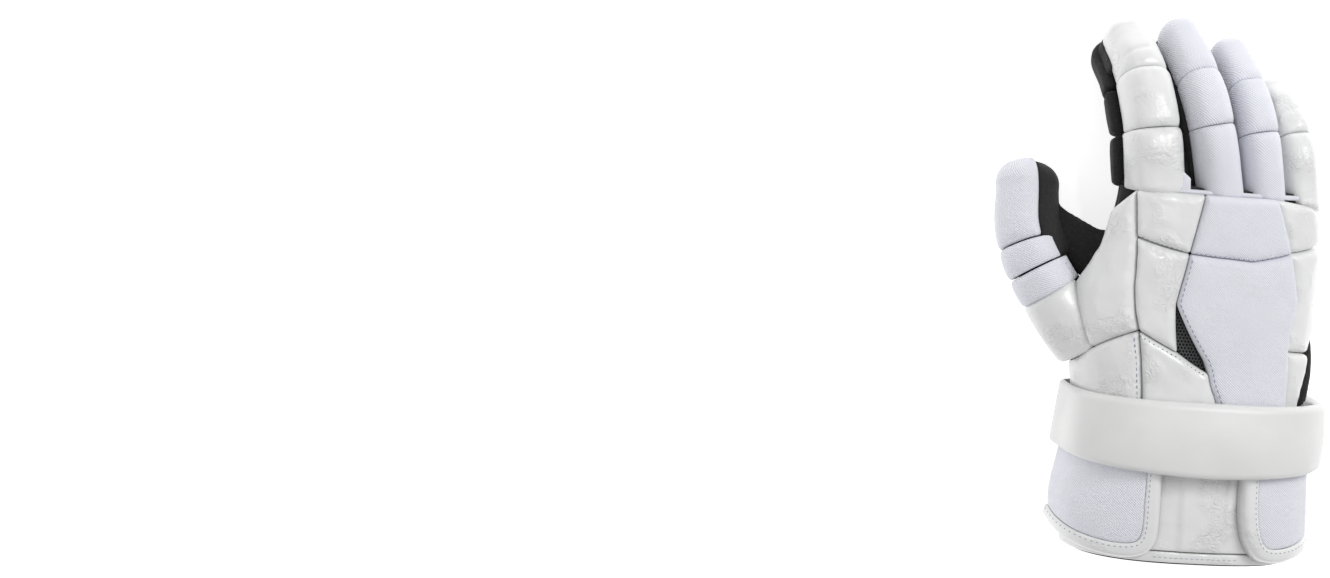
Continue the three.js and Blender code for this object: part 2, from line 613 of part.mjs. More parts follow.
// Pads on the back of the hand; those beside the thumb are cut clear of it.
const thumbPadSolid = ({ from, to, left, right }, grow = 0) => {
  const end = to === "tip" ? thumb.length + thumb.radius * TIP_RINGS.at(-1) : to * thumb.length;
  const shape = { left, right, thickness: THUMB_PAD, spread: 0.3, grow };
  return fingerPad(thumb, from * thumb.length, end, shape);
};
const thumbPadsGrown = THUMB_PADS.slice(1).map((row) => thumbPadSolid(row, GAP));
const thumbClear = thumbPadsGrown.reduce((solid, next) => solid.add(next), thumbGrown);
for (const [name, seams] of Object.entries(BACK_PADS)) {
  const solid = handPad(seams, { thickness: name.startsWith("ulnar") ? ULNAR_PAD : BACK_PAD });
  const beside = name === "web_block" || name === "radial_wrist_pad";
  add(name, beside ? solid.subtract(thumbClear) : solid, LEATHER_PADS.includes(name) ? leather : weave);
}
add("mesh_vent", handPad(VENT_SEAMS, { thickness: VENT_THICKNESS, shoulder: 1, corner: 1.5 }), ventMesh);

const webPoint = (across, out, side) => {
  const drawn = out * (1 - THUMB_WEB.sag * Math.sin(Math.PI * across));
  const along = ([from, to]) => mix(from, to, drawn);
  const atThumb = thumb.point(1.25, along(THUMB_WEB.thumb) * thumb.length, -1, 1);
  const atHand = handPoint(-1.08, along(THUMB_WEB.hand) * HAND_LENGTH, -1);
  return atThumb.lerp(atHand, across).add(new THREE.Vector3(0, 0, (side * WEB_THICKNESS) / 2));
};
const webSteps = 5;
const webRings = evenly(webSteps + 1, (k) => [
  ...evenly(webSteps + 1, (i) => webPoint(i / webSteps, k / webSteps, -1)),
  ...evenly(webSteps + 1, (i) => webPoint(1 - i / webSteps, k / webSteps, 1)),
]);
const webBlockGrown = handPad(BACK_PADS.web_block, { thickness: BACK_PAD, grow: GAP });
const webClear = handBlock(0, HAND_LENGTH, GAP, 8).add(thumbClear).add(webBlockGrown);
add("thumb_web", loft(webRings).subtract(webClear), black);

const rootClear = ["web_block", "radial_wrist_pad", "middle_wrist_pad"]
  .map((name) => handPad(BACK_PADS[name], { thickness: BACK_PAD, grow: GAP }))
  .reduce((solid, next) => solid.add(next), handBlock(-20, HAND_LENGTH, SEAT, 8));
for (const row of THUMB_PADS) {
  const solid = thumbPadSolid(row);
  add(row.name, row.name === "thumb_root_pad" ? solid.subtract(rootClear) : solid, weave);
}

// Cuff
const cuffSections = SECTIONS.filter(({ along }) => along < 0).map(({ along }) => along * CUFF_LENGTH);
const cuffRows = [-GAP, ...cuffSections.toReversed()];
const cuffRing = (y, lift) => evenly(28, (i) => handPoint(i / 7, y, lift));
const cuffRings = [
  ...cuffRows.map((y) => cuffRing(y, 0)),
  ...cuffRows.toReversed().map((y) => cuffRing(y, -CUFF_WALL)),
];
add("cuff_liner", loft(cuffRings, true), black);

// A layer laid across the cuff's back between two lines round it, as a loft of its cross-sections
function cuffStrip(fromTurn, toTurn, y0, y1, thickness) {
  const steps = 16;
  const between = SECTIONS.map(({ along }) => along * CUFF_LENGTH).filter((y) => y > y0 + 2 && y < y1 - 2);
  const above = between.toReversed().map((y) => [y, 1]);
  const below = between.map((y) => [y, 0]);
  const section = [[y0, 0], ...below, [y1, 0], [y1, 0.7], [y1 - 1, 1], ...above, [y0 + 1, 1], [y0, 0.7]];
  const rings = evenly(steps + 1, (i) =>
    section.map(([y, height]) => handPoint(mix(fromTurn, toTurn, i / steps), y, SEAT + height * thickness)),
  );
  return loft(rings);
}
const hemTop = -0.985 * CUFF_LENGTH + HEM_WIDTH;
add("cuff_back_panel", cuffStrip(-1.02, 0.98, hemTop + GAP, PANEL_TOP, PANEL_THICKNESS), leather);
add("hem_band", cuffStrip(-1.02, 0.98, hemTop - HEM_WIDTH, hemTop, PANEL_THICKNESS), leather);

const BAND_SECTION = [
  { across: 0, height: 0 },
  { across: 0, height: 0.7 },
  { across: 0.25, height: 1 },
  { across: 0.75, height: 1 },
  { across: 1, height: 0.7 },
  { across: 1, height: 0 },
];
for (const [name, rows] of Object.entries(FLAPS)) {
  const outline = rows.map(({ turn, along }) => [turn * HAND_QUARTER, along * CUFF_LENGTH]).toReversed();
  const banded = rows.map(({ banded }) => (banded ? BAND_WIDTH : 0)).toReversed();
  // Reversed, an edge starts at what was its end.
  const edges = banded.map((_, i) => banded[(i + 1) % banded.length]);
  const inner = offsetOutline(outline, edges);
  const first = edges.findIndex((value) => value);
  const span = edges.filter((value) => value).length;
  const chain = evenly(span + 1, (i) => (first + i) % outline.length);
  const shape = { thickness: FLAP_THICKNESS, seat: FLAP_SEAT, shoulder: 2.5, longest: 13 };
  add(name, pad(wrapHand, inner, shape), weave);
  const path = chain.slice(1).flatMap((to, i) => {
    const from = chain[i];
    const [dx, dy] = [0, 1].map((axis) => outline[to][axis] - outline[from][axis]);
    const steps = Math.ceil(Math.hypot(dx, dy) / 11);
    return evenly(i === span - 1 ? steps + 1 : steps, (k) =>
      [outline, inner].map((edge) => [0, 1].map((axis) => mix(edge[from][axis], edge[to][axis], k / steps))),
    );
  });
  const margin = SEAM / 2 / BAND_WIDTH;
  const bands = path.map(([outer, within]) =>
    BAND_SECTION.map(({ across, height }) => {
      const [x, y] = [0, 1].map((axis) => mix(outer[axis], within[axis], mix(margin, 1 - margin, across)));
      return wrapHand(x, y, FLAP_SEAT + height * (FLAP_THICKNESS + BAND_PROUD));
    }),
  );
  add(`${name}_binding`, loft(bands), leather);
}

// Strap: a ring over the flaps on the back and straight on the cuff on the palm side
const STRAP_SECTION = [
  { width: -0.5, height: 0 },
  { width: -0.5, height: 0.55 },
  { width: -0.42, height: 1.0 },
  { width: 0.42, height: 1.0 },
  { width: 0.5, height: 0.55 },
  { width: 0.5, height: 0 },
];
const strapRings = evenly(32, (i) => {
  const turn = -2 + i / 8;
  const palmSide = THREE.MathUtils.smoothstep(Math.abs(turn), 1.1, 1.3);
  const seat = mix(STRAP_SEAT, SEAT, palmSide);
  const aside = THREE.MathUtils.smoothstep(Math.abs(turn), 0.7, 1);
  const thickness = mix(STRAP_THICKNESS, STRAP_PALM_THICKNESS, aside);
  const width = STRAP_WIDTH * mix(1, 0.86, Math.min(1, Math.abs(turn)));
  const middle = 1.5 - STRAP_WIDTH * mix(0.5, 0.45, Math.min(1, Math.abs(turn)));
  return STRAP_SECTION.map((row) =>
    handPoint(turn, middle + row.width * width, seat + row.height * thickness),
  );
});
add("wrist_strap", loft(strapRings, true), strapLeather);

// The row's origin is the middle of the part's base.
const bounds = new THREE.Box3().setFromObject(group);
const middle = bounds.getCenter(new THREE.Vector3());
group.position.set(-middle.x, -middle.y, -bounds.min.z);

export default group;
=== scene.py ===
"""The looks of a padded lacrosse glove for the right hand, lying palm down.

The inner glove is black cloth. White foam pads sit on its back: some are covered with coated leather, the
others with a woven mesh. Shapes are worked out in millimetres in the glove's own frame, whose origin is on the
floor under the wrist line: X runs across the hand towards the little finger, Y towards the fingertips and Z up.
Pieces are moved into the row's frame, in metres, when their meshes are made.
"""

from __future__ import annotations

import logging
import math
from dataclasses import dataclass, field
from enum import Enum
from typing import Callable, Optional, Sequence, Union

import bpy
import numpy as np
from mathutils import Matrix, Vector, noise
from mathutils.geometry import delaunay_2d_cdt

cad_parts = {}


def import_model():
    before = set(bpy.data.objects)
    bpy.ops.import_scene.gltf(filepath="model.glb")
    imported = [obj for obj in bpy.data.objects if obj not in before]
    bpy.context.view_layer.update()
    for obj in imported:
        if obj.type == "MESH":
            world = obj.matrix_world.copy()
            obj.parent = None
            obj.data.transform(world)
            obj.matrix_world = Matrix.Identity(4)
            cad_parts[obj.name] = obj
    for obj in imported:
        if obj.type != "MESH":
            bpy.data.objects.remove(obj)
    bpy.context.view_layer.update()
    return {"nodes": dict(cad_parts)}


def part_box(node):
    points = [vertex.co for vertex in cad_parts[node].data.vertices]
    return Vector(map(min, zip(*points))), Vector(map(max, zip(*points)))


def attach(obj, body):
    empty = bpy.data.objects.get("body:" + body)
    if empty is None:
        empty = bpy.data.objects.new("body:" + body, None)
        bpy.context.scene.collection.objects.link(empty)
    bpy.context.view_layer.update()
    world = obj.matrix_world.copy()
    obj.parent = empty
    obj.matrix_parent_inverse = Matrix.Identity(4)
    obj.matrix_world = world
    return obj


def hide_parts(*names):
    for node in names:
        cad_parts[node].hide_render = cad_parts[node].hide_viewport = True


log = logging.getLogger("glove")

MM = 0.001
SEAM = 0.7  # clearance between pads that share a seam
SEAT = 0.9  # a layer's underside over the one it is sewn to
FINGER_SEAT = 1.15
MESH_STEP = 1.1  # spacing of the points on small pads
CLEAR_OF_SEAM = 9.0  # a distance from the seam at which its shade has ended
CORNER_FOLLOWS = 0.45  # how much of an edge a rounded corner may take up
STRAIGHT = 0.08  # sine of a turn under which two edges count as one
PATTERN = "pattern"  # attribute: place in the flat pattern, and distance from the seam, in millimetres

Wrap = Callable[[np.ndarray, np.ndarray, np.ndarray], np.ndarray]


# Shapes of the hand and the fingers


def mix(a: np.ndarray, b: np.ndarray, share: np.ndarray) -> np.ndarray:
    """Returns the value a share of the way from a to b."""
    return a + (b - a) * share


def smoothstep(value: np.ndarray, low: float, high: float) -> np.ndarray:
    """Returns 0 below low, 1 above high and a smooth rise between them."""
    share = np.clip((value - low) / (high - low), 0, 1)
    return share * share * (3 - 2 * share)


def signed_power(value: np.ndarray, power: float) -> np.ndarray:
    """Returns the power of the size of value, with value's sign."""
    return np.sign(value) * np.abs(value) ** power


def quarter_turns(turn: np.ndarray) -> tuple[np.ndarray, np.ndarray]:
    """Returns the sine and cosine of an angle in quarter turns."""
    return np.sin(turn * math.pi / 2), np.cos(turn * math.pi / 2)


class Rule:
    """Turns quarter turns round a form into millimetres over it, and back."""

    def __init__(self, place: Callable[[np.ndarray], np.ndarray], reach: float = 2.0) -> None:
        """Measures the girth.

        Args:
            place: Gives points of the form for quarter turns.
            reach: How far round it is measured, both ways.
        """
        self.turns = np.linspace(-reach, reach, 1601)
        steps = np.linalg.norm(np.diff(place(self.turns), axis=0), axis=1)
        distances = np.concatenate([[0], np.cumsum(steps)])
        self.marks = distances - np.interp(0, self.turns, distances)

    def flat(self, turn: np.ndarray) -> np.ndarray:
        """Returns the distance from the middle line for quarter turns."""
        return np.interp(turn, self.turns, self.marks)

    def turn(self, x: np.ndarray) -> np.ndarray:
        """Returns quarter turns for distances from the middle line."""
        return np.interp(x, self.marks, self.turns)

    def lay_out(self, corners: np.ndarray, steps: int = 8) -> np.ndarray:
        """Lays an outline out flat.

        Args:
            corners: Quarter turns and a distance along the form for each corner.
            steps: Points for each edge.

        Returns:
            The flat outline.
        """
        share = np.arange(steps)[:, None] / steps
        points = np.vstack([mix(a, b, share) for a, b in zip(corners, np.roll(corners, -1, axis=0))])
        return np.column_stack([self.flat(points[:, 0]), points[:, 1]])

    def rectangle(self, turns: Sequence[float], ends: Sequence[float], steps: int = 8) -> np.ndarray:
        """Returns the flat outline of a piece between two quarter turns and two distances."""
        (left, right), (low, high) = turns, ends
        return self.lay_out(np.array([(left, low), (right, low), (right, high), (left, high)]), steps)

    def pattern(self, turn: np.ndarray, along: np.ndarray) -> np.ndarray:
        """Returns flat pattern coordinates for a layer that has no seams near by."""
        return np.column_stack([self.flat(turn), along, np.full(len(turn), CLEAR_OF_SEAM)])


@dataclass
class HandForm:
    """The outside of the inner glove: rounded sections along the hand and the cuff."""

    hand_length: float = 125
    cuff_length: float = 100
    hand_width: float = 122
    cuff_width: float = 140
    back_height: float = 78
    cuff_height: float = 89
    skew: float = 0.12
    skew_centre: float = 15
    squareness: float = 2.6
    easing: tuple[float, ...] = (-9, -4.5, 0, 4.5, 9)  # sections are averaged over these, to leave no crease
    rule_place: tuple[float, float] = (40.0, 10.0)  # along and lift of the girth that patterns are measured on
    # along, centre, left, right, top, bottom, as shares of the lengths, widths and heights
    sections: tuple[tuple[float, ...], ...] = (
        (-1.0, 0.093, 0.495, 0.475, 0.99, -0.012),
        (-0.67, 0.1, 0.495, 0.475, 0.995, -0.012),
        (-0.3, 0.136, 0.462, 0.44, 0.95, 0.09),
        (0.0, 0.164, 0.492, 0.535, 1.013, 0.14),
        (0.2, 0.197, 0.54, 0.54, 1.0, 0.24),
        (0.35, 0.213, 0.582, 0.5, 0.99, 0.3),
        (0.5, 0.238, 0.59, 0.485, 0.975, 0.36),
        (0.67, 0.262, 0.54, 0.48, 0.955, 0.4),
        (1.0, 0.287, 0.48, 0.485, 0.91, 0.46),
    )

    def __post_init__(self) -> None:
        """Works out the sections in millimetres."""
        rows = []
        for along, *shares in self.sections:
            on_cuff = along < 0
            width = self.cuff_width if on_cuff else self.hand_width
            height = self.cuff_height if on_cuff else self.back_height
            sizes = [share * size for share, size in zip(shares, (width, width, width, height, height))]
            rows.append([along * (self.cuff_length if on_cuff else self.hand_length), *sizes])
        self.table = np.array(rows)
        self.rule = Rule(lambda turn: self.point(turn, *self.rule_place))

    def section(self, y: np.ndarray, eased: bool = True) -> list[np.ndarray]:
        """Finds the sections at places along the hand.

        Args:
            y: Distances from the wrist line.
            eased: Whether the sections run smoothly into one another.

        Returns:
            Centre, left, right, top and bottom.
        """
        along = self.table[:, 0]
        places = [np.interp(y + step, along, along) for step in (self.easing if eased else (0,))]
        return [
            np.mean([np.interp(place, along, column) for place in places], axis=0) for column in self.table.T[1:]
        ]

    def point(self, turn: np.ndarray, y: np.ndarray, lift: np.ndarray, eased: bool = True) -> np.ndarray:
        """Finds points on or over the glove.

        Args:
            turn: Quarter turns from the back's centre line towards the little finger.
            y: Distance from the wrist line.
            lift: Height over the liner.
            eased: Whether the sections run smoothly into one another.

        Returns:
            One row of x, y and z for each point.
        """
        turn, y, lift = np.broadcast_arrays(turn, y, lift)
        centre, left, right, top, bottom = self.section(y, eased)
        sine, cosine = quarter_turns(turn)
        half_width = np.where(sine < 0, left, right) + lift
        x = centre + half_width * signed_power(sine, 2 / self.squareness)
        z = (top + bottom) / 2 + ((top - bottom) / 2 + lift) * signed_power(cosine, 2 / self.squareness)
        return np.stack([x, y - self.skew * (x - self.skew_centre), z], axis=-1)

    def wrap(self, x: np.ndarray, y: np.ndarray, lift: np.ndarray) -> np.ndarray:
        """Returns the places of flat pattern points laid round the hand or cuff."""
        return self.point(self.rule.turn(x), y, lift)

    def outline(self, corners: Sequence[Sequence[float]], length: float) -> np.ndarray:
        """Lays a shape out flat.

        Args:
            corners: Quarter turns and share of the length for each corner; edges are straight between them.
            length: The length that the shares are of.

        Returns:
            The flat outline, with points along its edges as well.
        """
        return self.rule.lay_out(np.array(corners, float) * (1, length))


@dataclass
class FingerForm:
    """A finger's spine, and the rounded section that follows it and closes over its tip."""

    name: str
    knots: np.ndarray
    back: np.ndarray
    width: float
    spread: float
    tip_taper: float = 0.86  # the sleeve's scale at the last joint
    cover: float = 8.0  # height over the sleeve at which its patterns are measured
    tip_lift: float = 0.35
    squareness: float = 2.7
    steps: int = 60  # samples for each span of the spine
    knuckle_search: tuple[float, float] = (-12, 20)  # where along the spine the knuckle line may cross it
    taper_from: float = 0.5  # share of the length at which the sleeve starts to taper
    rule_share: float = 0.4  # share of the length at which patterns are measured

    def __post_init__(self) -> None:
        """Samples the spine and measures it."""
        self.radius = self.width / 2
        ends = [2 * self.knots[0] - self.knots[1], 2 * self.knots[-1] - self.knots[-2]]
        knots = np.vstack([ends[0], self.knots, ends[1]])
        share = np.linspace(0, 1, self.steps, endpoint=False)[:, None]
        spans = []
        for before, start, end, after in zip(knots, knots[1:], knots[2:], knots[3:]):
            leave, arrive = (end - before) / 2, (after - start) / 2
            bend = 3 * (end - start) - 2 * leave - arrive
            twist = 2 * (start - end) + leave + arrive
            spans.append(start + leave * share + bend * share**2 + twist * share**3)
        self.samples = np.vstack([*spans, self.knots[-1]])
        steps = np.linalg.norm(np.diff(self.samples, axis=0), axis=1)
        self.distances = np.concatenate([[0], np.cumsum(steps)])
        self.length = float(self.distances[-1])
        self.tangents = np.gradient(self.samples, self.distances, axis=0)
        self.tangents /= np.linalg.norm(self.tangents, axis=1)[:, None]
        self.rule = Rule(lambda turn: self.point(turn, self.length * self.rule_share, self.cover))

    def along(self, values: np.ndarray, s: np.ndarray) -> np.ndarray:
        """Returns sampled values at distances along the spine."""
        return np.stack([np.interp(s, self.distances, values[:, k]) for k in range(3)], axis=-1)

    def point(
        self, turn: np.ndarray, s: np.ndarray, lift: np.ndarray, spread: Optional[float] = None
    ) -> np.ndarray:
        """Finds points on or over the finger.

        Args:
            turn: Quarter turns from the finger's back.
            s: Distance along the spine, and past its end over the tip.
            lift: Height over the sleeve.
            spread: Share of the height that also goes sideways; the finger's own where it is left out.

        Returns:
            One row of x, y and z for each point.
        """
        turn, s, lift = np.broadcast_arrays(turn, s, lift)
        spread = self.spread if spread is None else spread
        past = np.clip((s - self.length) / self.radius, 0, 1) * math.pi / 2
        ahead = np.minimum(lift, SEAT) + np.maximum(lift - SEAT, 0) * self.tip_lift
        reach = np.minimum(s, self.length) + (self.radius * self.tip_taper + ahead) * np.sin(past)
        tangent = self.along(self.tangents, reach)
        tangent /= np.linalg.norm(tangent, axis=-1, keepdims=True)
        place = self.along(self.samples, reach)
        outside = np.maximum(reach - self.length, 0) + np.minimum(reach, 0)
        place = place + tangent * outside[..., None]
        back = self.back - tangent * (tangent @ self.back)[..., None]
        back /= np.linalg.norm(back, axis=-1, keepdims=True)
        side = np.cross(tangent, back)
        radius = self.radius * mix(1, self.tip_taper, smoothstep(s, self.length * self.taper_from, self.length))
        sine, cosine = quarter_turns(turn)
        aside = np.minimum(lift, FINGER_SEAT) + np.maximum(lift - FINGER_SEAT, 0) * spread
        across = (radius + aside) * np.cos(past) * signed_power(sine, 2 / self.squareness)
        up = (radius + lift) * np.cos(past) * signed_power(cosine, 2 / self.squareness)
        return place + side * across[..., None] + back * up[..., None]

    def wrap(self, x: np.ndarray, y: np.ndarray, lift: np.ndarray) -> np.ndarray:
        """Returns the places of flat pattern points laid round the finger."""
        return self.point(self.rule.turn(x), y, lift)

    def start(self, turn: float, lift: float, ahead: float) -> float:
        """Finds where a line at one height over the finger crosses the knuckle line.

        Args:
            turn: Quarter turns from the finger's back.
            lift: Height over the sleeve.
            ahead: Distance past the knuckle line.

        Returns:
            The distance along the spine.
        """
        places = np.linspace(*self.knuckle_search, 129)
        points = self.point(turn, places, lift)
        along = points[:, 1] + HAND.skew * (points[:, 0] - HAND.skew_centre)
        return float(np.interp(HAND.hand_length + ahead, along, places))

    def wrap_with(self, spread: float) -> Wrap:
        """Returns a wrap whose pads' thickness goes sideways by another share."""
        return lambda x, y, lift: self.point(self.rule.turn(x), y, lift, spread)


HAND = HandForm()


def finger_form(
    name: str, across: float, rise: float, yaw: float, slim: float, spread: float, taper: float,
    reach: Sequence[float], dip: Sequence[float], finger_reach: float = 100, finger_width: float = 26,
) -> FingerForm:
    """Makes a finger's form from shares of the hand's sizes.

    Args:
        name: The finger's name.
        across: The base's place from the knuckle section's centre, as a share of the hand's width.
        rise: Its height in that section.
        yaw: Degrees towards the thumb.
        slim: Scale of the sleeve.
        spread: Share of its pads' thickness that also goes sideways.
        taper: The sleeve's scale at the last joint.
        reach: Each bone as a share of the middle finger's reach.
        dip: Each bone's slope in degrees.
        finger_reach: The middle finger's length from the knuckle line to its last joint's centre.
        finger_width: Width of an unscaled sleeve.

    Returns:
        The form, with its spine placed.
    """
    centre, _, _, top, bottom = (float(value) for value in HAND.section(np.array(HAND.hand_length), False))
    x = centre + across * HAND.hand_width
    knots = [np.array([x, HAND.hand_length - HAND.skew * (x - HAND.skew_centre), mix(bottom, top, rise)])]
    for share, slope in zip(reach, dip):
        turn, fall = math.radians(yaw), math.radians(slope)
        way = np.array([-math.sin(turn) * math.cos(fall), math.cos(turn) * math.cos(fall), -math.sin(fall)])
        knots.append(knots[-1] + way * share * finger_reach)
    return FingerForm(name, np.array(knots), np.array([0.0, 0.0, 1.0]), finger_width * slim, spread, taper)


FINGERS: dict[str, tuple[FingerForm, tuple[float, ...]]] = {
    name: (finger_form(name, *sizes, reach, dip), tuple(np.cumsum(reach)[:-1] * 100))
    for name, sizes, reach, dip in (
        ("index", (-0.336, 0.5, 0.5, 1, 0.2, 0.86), (0.325, 0.3, 0.31), (5, 29, 54)),
        ("middle", (0, 0.56, 5.8, 0.86, 0.12, 0.9), (0.38, 0.28, 0.33), (5, 30, 52)),
        ("ring", (0.232, 0.52, 3.2, 0.81, 0.07, 1), (0.34, 0.27, 0.28), (7, 35, 58)),
        ("pinky", (0.44, 0.3, 2.6, 0.78, 0.07, 0.95), (0.3, 0.35), (12, 57)),
    )
}
THUMB_BACK = np.array([-0.7, -0.05, 0.71])
THUMB = FingerForm(
    "thumb",
    np.array([
        (-0.24, 0.14, 0.56), (-0.4, 0.37, 0.53), (-0.49, 0.52, 0.49),
        (-0.56, 0.67, 0.41), (-0.585, 0.83, 0.3), (-0.56, 1.01, 0.175),
    ]) * np.array([HAND.hand_width, HAND.hand_length, HAND.back_height]),
    THUMB_BACK / np.linalg.norm(THUMB_BACK), 30, 0.3,
)


@dataclass
class Placement:
    """Where the glove's own frame lies in the row's frame."""

    shift: np.ndarray = field(default_factory=lambda: np.zeros(3))

    def read(self) -> None:
        """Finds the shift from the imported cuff, whose corners are known points of its form."""
        turns, places = np.meshgrid(np.arange(28) / 7, np.array([-0.4, *(HAND.table[:3, 0])]))
        corners = HAND.point(turns, places, 0, False).reshape(-1, 3)
        high = np.array(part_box("cuff_liner")[1]) / MM
        self.shift = np.array([high[0] - corners[:, 0].max(), high[1] - corners[:, 1].max(), 0])

    def to_row(self, points: np.ndarray) -> np.ndarray:
        """Returns points in the row's frame, in metres, none of them under the floor."""
        moved = (points + self.shift) * MM
        moved[:, 2] = np.maximum(moved[:, 2], 0)
        return moved


PLACE = Placement()


# Materials


class Signal:
    """A shader socket that takes part in Python arithmetic."""

    def __init__(self, bench: "Bench", socket: bpy.types.NodeSocket) -> None:
        """Keeps the socket and the bench that its nodes stand on."""
        self.bench = bench
        self.socket = socket

    def maths(self, operation: str, *others: "Value") -> "Signal":
        """Returns the result of a Math node on this signal and the others."""
        values = dict(enumerate((self, *others)))
        return self.bench.output("ShaderNodeMath", {"operation": operation}, values)

    def __add__(self, other: "Value") -> "Signal":
        """Adds."""
        return self.maths("ADD", other)

    __radd__ = __add__

    def __sub__(self, other: "Value") -> "Signal":
        """Subtracts."""
        return self.maths("SUBTRACT", other)

    def __rsub__(self, other: float) -> "Signal":
        """Subtracts this signal from a number."""
        return self.bench.output("ShaderNodeMath", {"operation": "SUBTRACT"}, {0: other, 1: self})

    def __mul__(self, other: "Value") -> "Signal":
        """Multiplies."""
        return self.maths("MULTIPLY", other)

    __rmul__ = __mul__

    def __truediv__(self, other: "Value") -> "Signal":
        """Divides."""
        return self.maths("DIVIDE", other)

    def sine(self) -> "Signal":
        """Returns the sine."""
        return self.maths("SINE")

    def wave(self) -> "Signal":
        """Returns a wave from 0 to 1 that repeats for every whole number."""
        return (self * (2 * math.pi)).sine() * 0.5 + 0.5

    def rise(self, low: float, high: float) -> "Signal":
        """Returns 0 below low, 1 above high and a smooth rise between them."""
        settings = {"interpolation_type": "SMOOTHSTEP"}
        return self.bench.output("ShaderNodeMapRange", settings, {0: self, 1: low, 2: high}, "Result")


Value = Union[Signal, float]
Colour = tuple[float, float, float]


class Bench:
    """A material under construction."""

    def __init__(self, name: str) -> None:
        """Starts a material with one surface shader."""
        self.material = bpy.data.materials.new(name)
        self.material.use_nodes = True
        self.tree = self.material.node_tree
        self.shader = self.tree.nodes["Principled BSDF"]

    def node(self, kind: str, settings: dict[str, object], inputs: dict[object, object]) -> bpy.types.Node:
        """Adds a node.

        Args:
            kind: The node's type.
            settings: Its properties, set before its sockets.
            inputs: What its sockets hold, by name or number: values, or signals to link.

        Returns:
            The node.
        """
        node = self.tree.nodes.new(kind)
        for key, value in settings.items():
            setattr(node, key, value)
        for key, value in inputs.items():
            self.feed(node.inputs[key], value)
        return node

    def feed(self, socket: bpy.types.NodeSocket, value: object) -> None:
        """Links a signal to a socket, or sets the socket's value.

        Args:
            socket: The socket.
            value: A signal, a number, a colour or a vector.
        """
        if isinstance(value, Signal):
            self.tree.links.new(value.socket, socket)
        elif socket.type == "RGBA":
            socket.default_value = (*value, 1)
        else:
            socket.default_value = value

    def output(
        self, kind: str, settings: dict[str, object], inputs: dict[object, object], name: object = 0
    ) -> Signal:
        """Adds a node and returns one of its outputs."""
        return Signal(self, self.node(kind, settings, inputs).outputs[name])

    def pattern(self) -> tuple[Signal, Signal, Signal, Signal]:
        """Returns the pattern vector in millimetres, then its x, y and distance from the seam."""
        vector = self.output("ShaderNodeAttribute", {"attribute_name": PATTERN}, {}, "Vector")
        parts = self.node("ShaderNodeSeparateXYZ", {}, {0: vector})
        return vector, *(Signal(self, parts.outputs[k]) for k in range(3))

    def place(self) -> Signal:
        """Returns the place on the object, in millimetres."""
        coordinates = self.node("ShaderNodeTexCoord", {}, {})
        scaled = {0: Signal(self, coordinates.outputs["Object"]), 3: 1 / MM}
        return self.output("ShaderNodeVectorMath", {"operation": "SCALE"}, scaled)

    def noise(self, vector: Signal, size: float, detail: float = 2, distortion: float = 0) -> Signal:
        """Returns noise of a size in millimetres."""
        inputs = {"Vector": vector, "Scale": 1 / size, "Detail": detail, "Distortion": distortion}
        return self.output("ShaderNodeTexNoise", {}, inputs)

    def blend(self, share: Value, a: object, b: object) -> Signal:
        """Returns a colour between a and b."""
        return self.output("ShaderNodeMix", {"data_type": "RGBA"}, {0: share, 6: a, 7: b}, 2)

    def mottle(self, vector: Signal, size: float) -> Signal:
        """Returns broad, soft patches of a size in millimetres."""
        return self.noise(vector, size, 2).rise(0.3, 0.75)

    def shade_seams(self, distance: Signal, colour: object, shade: Colour) -> tuple[Signal, Signal]:
        """Returns how near the seam is, from 0 to 1, and the colour darkened towards it."""
        near = 1 - distance.rise(-2.5, 1.0)
        return near, self.blend(near * 0.8, colour, shade)

    def finish(
        self, colour: object, roughness: Value, height: Optional[Signal], depth: float, **constants: float
    ) -> bpy.types.Material:
        """Connects the surface.

        Args:
            colour: Base colour, or the signal that gives it.
            roughness: Roughness.
            height: What the bump follows, from 0 to 1, or None.
            depth: The bump's height in millimetres.
            constants: Other sockets of the shader, by name with _ for a space.

        Returns:
            The material.
        """
        self.feed(self.shader.inputs["Base Color"], colour)
        self.feed(self.shader.inputs["Roughness"], roughness)
        if height is not None:
            inputs = {"Strength": 1.0, "Distance": depth * MM, "Height": height}
            bump = self.output("ShaderNodeBump", {}, inputs)
            self.feed(self.shader.inputs["Normal"], bump)
        for key, value in constants.items():
            self.feed(self.shader.inputs[key.replace("_", " ")], value)
        return self.material


@dataclass(frozen=True)
class CoatedLeather:
    """Glossy coated leather, drawn tight over foam."""

    name: str = "coated_leather"
    colour: Colour = (0.77, 0.775, 0.77)
    shade: Colour = (0.66, 0.665, 0.66)
    seam_shade: Colour = (0.52, 0.52, 0.53)
    roughness: float = 0.32
    uneven: float = 0.22  # how much the roughness varies
    grain: float = 0.55  # sizes, in millimetres
    gather: float = 2.6
    crease: float = 5.5
    billow: float = 15
    patch: float = 26
    depth: float = 0.52

    def build(self) -> bpy.types.Material:
        """Returns the material: fine grain, patches of small creases, and darker seams."""
        bench = Bench(self.name)
        vector, _, _, distance = bench.pattern()
        body = bench.blend(bench.mottle(vector, 34) * 0.35, self.colour, self.shade)
        near_seam, colour = bench.shade_seams(distance, body, self.seam_shade)
        roughness = bench.noise(vector, 11, 3) * self.uneven + (self.roughness - self.uneven / 2)
        creased = bench.noise(vector, self.crease, 4, 2.2) * bench.noise(vector, self.patch, 1).rise(0.48, 0.66)
        gathers = near_seam * bench.noise(vector, self.gather, 2, 1.2)
        grain = bench.noise(vector, self.grain, 1)
        height = creased * 2.4 + gathers * 1.3 + grain * 0.16 + bench.noise(vector, self.billow, 1) * 1.3
        return bench.finish(colour, roughness, height, self.depth, Coat_Weight=0.3, Coat_Roughness=0.14)


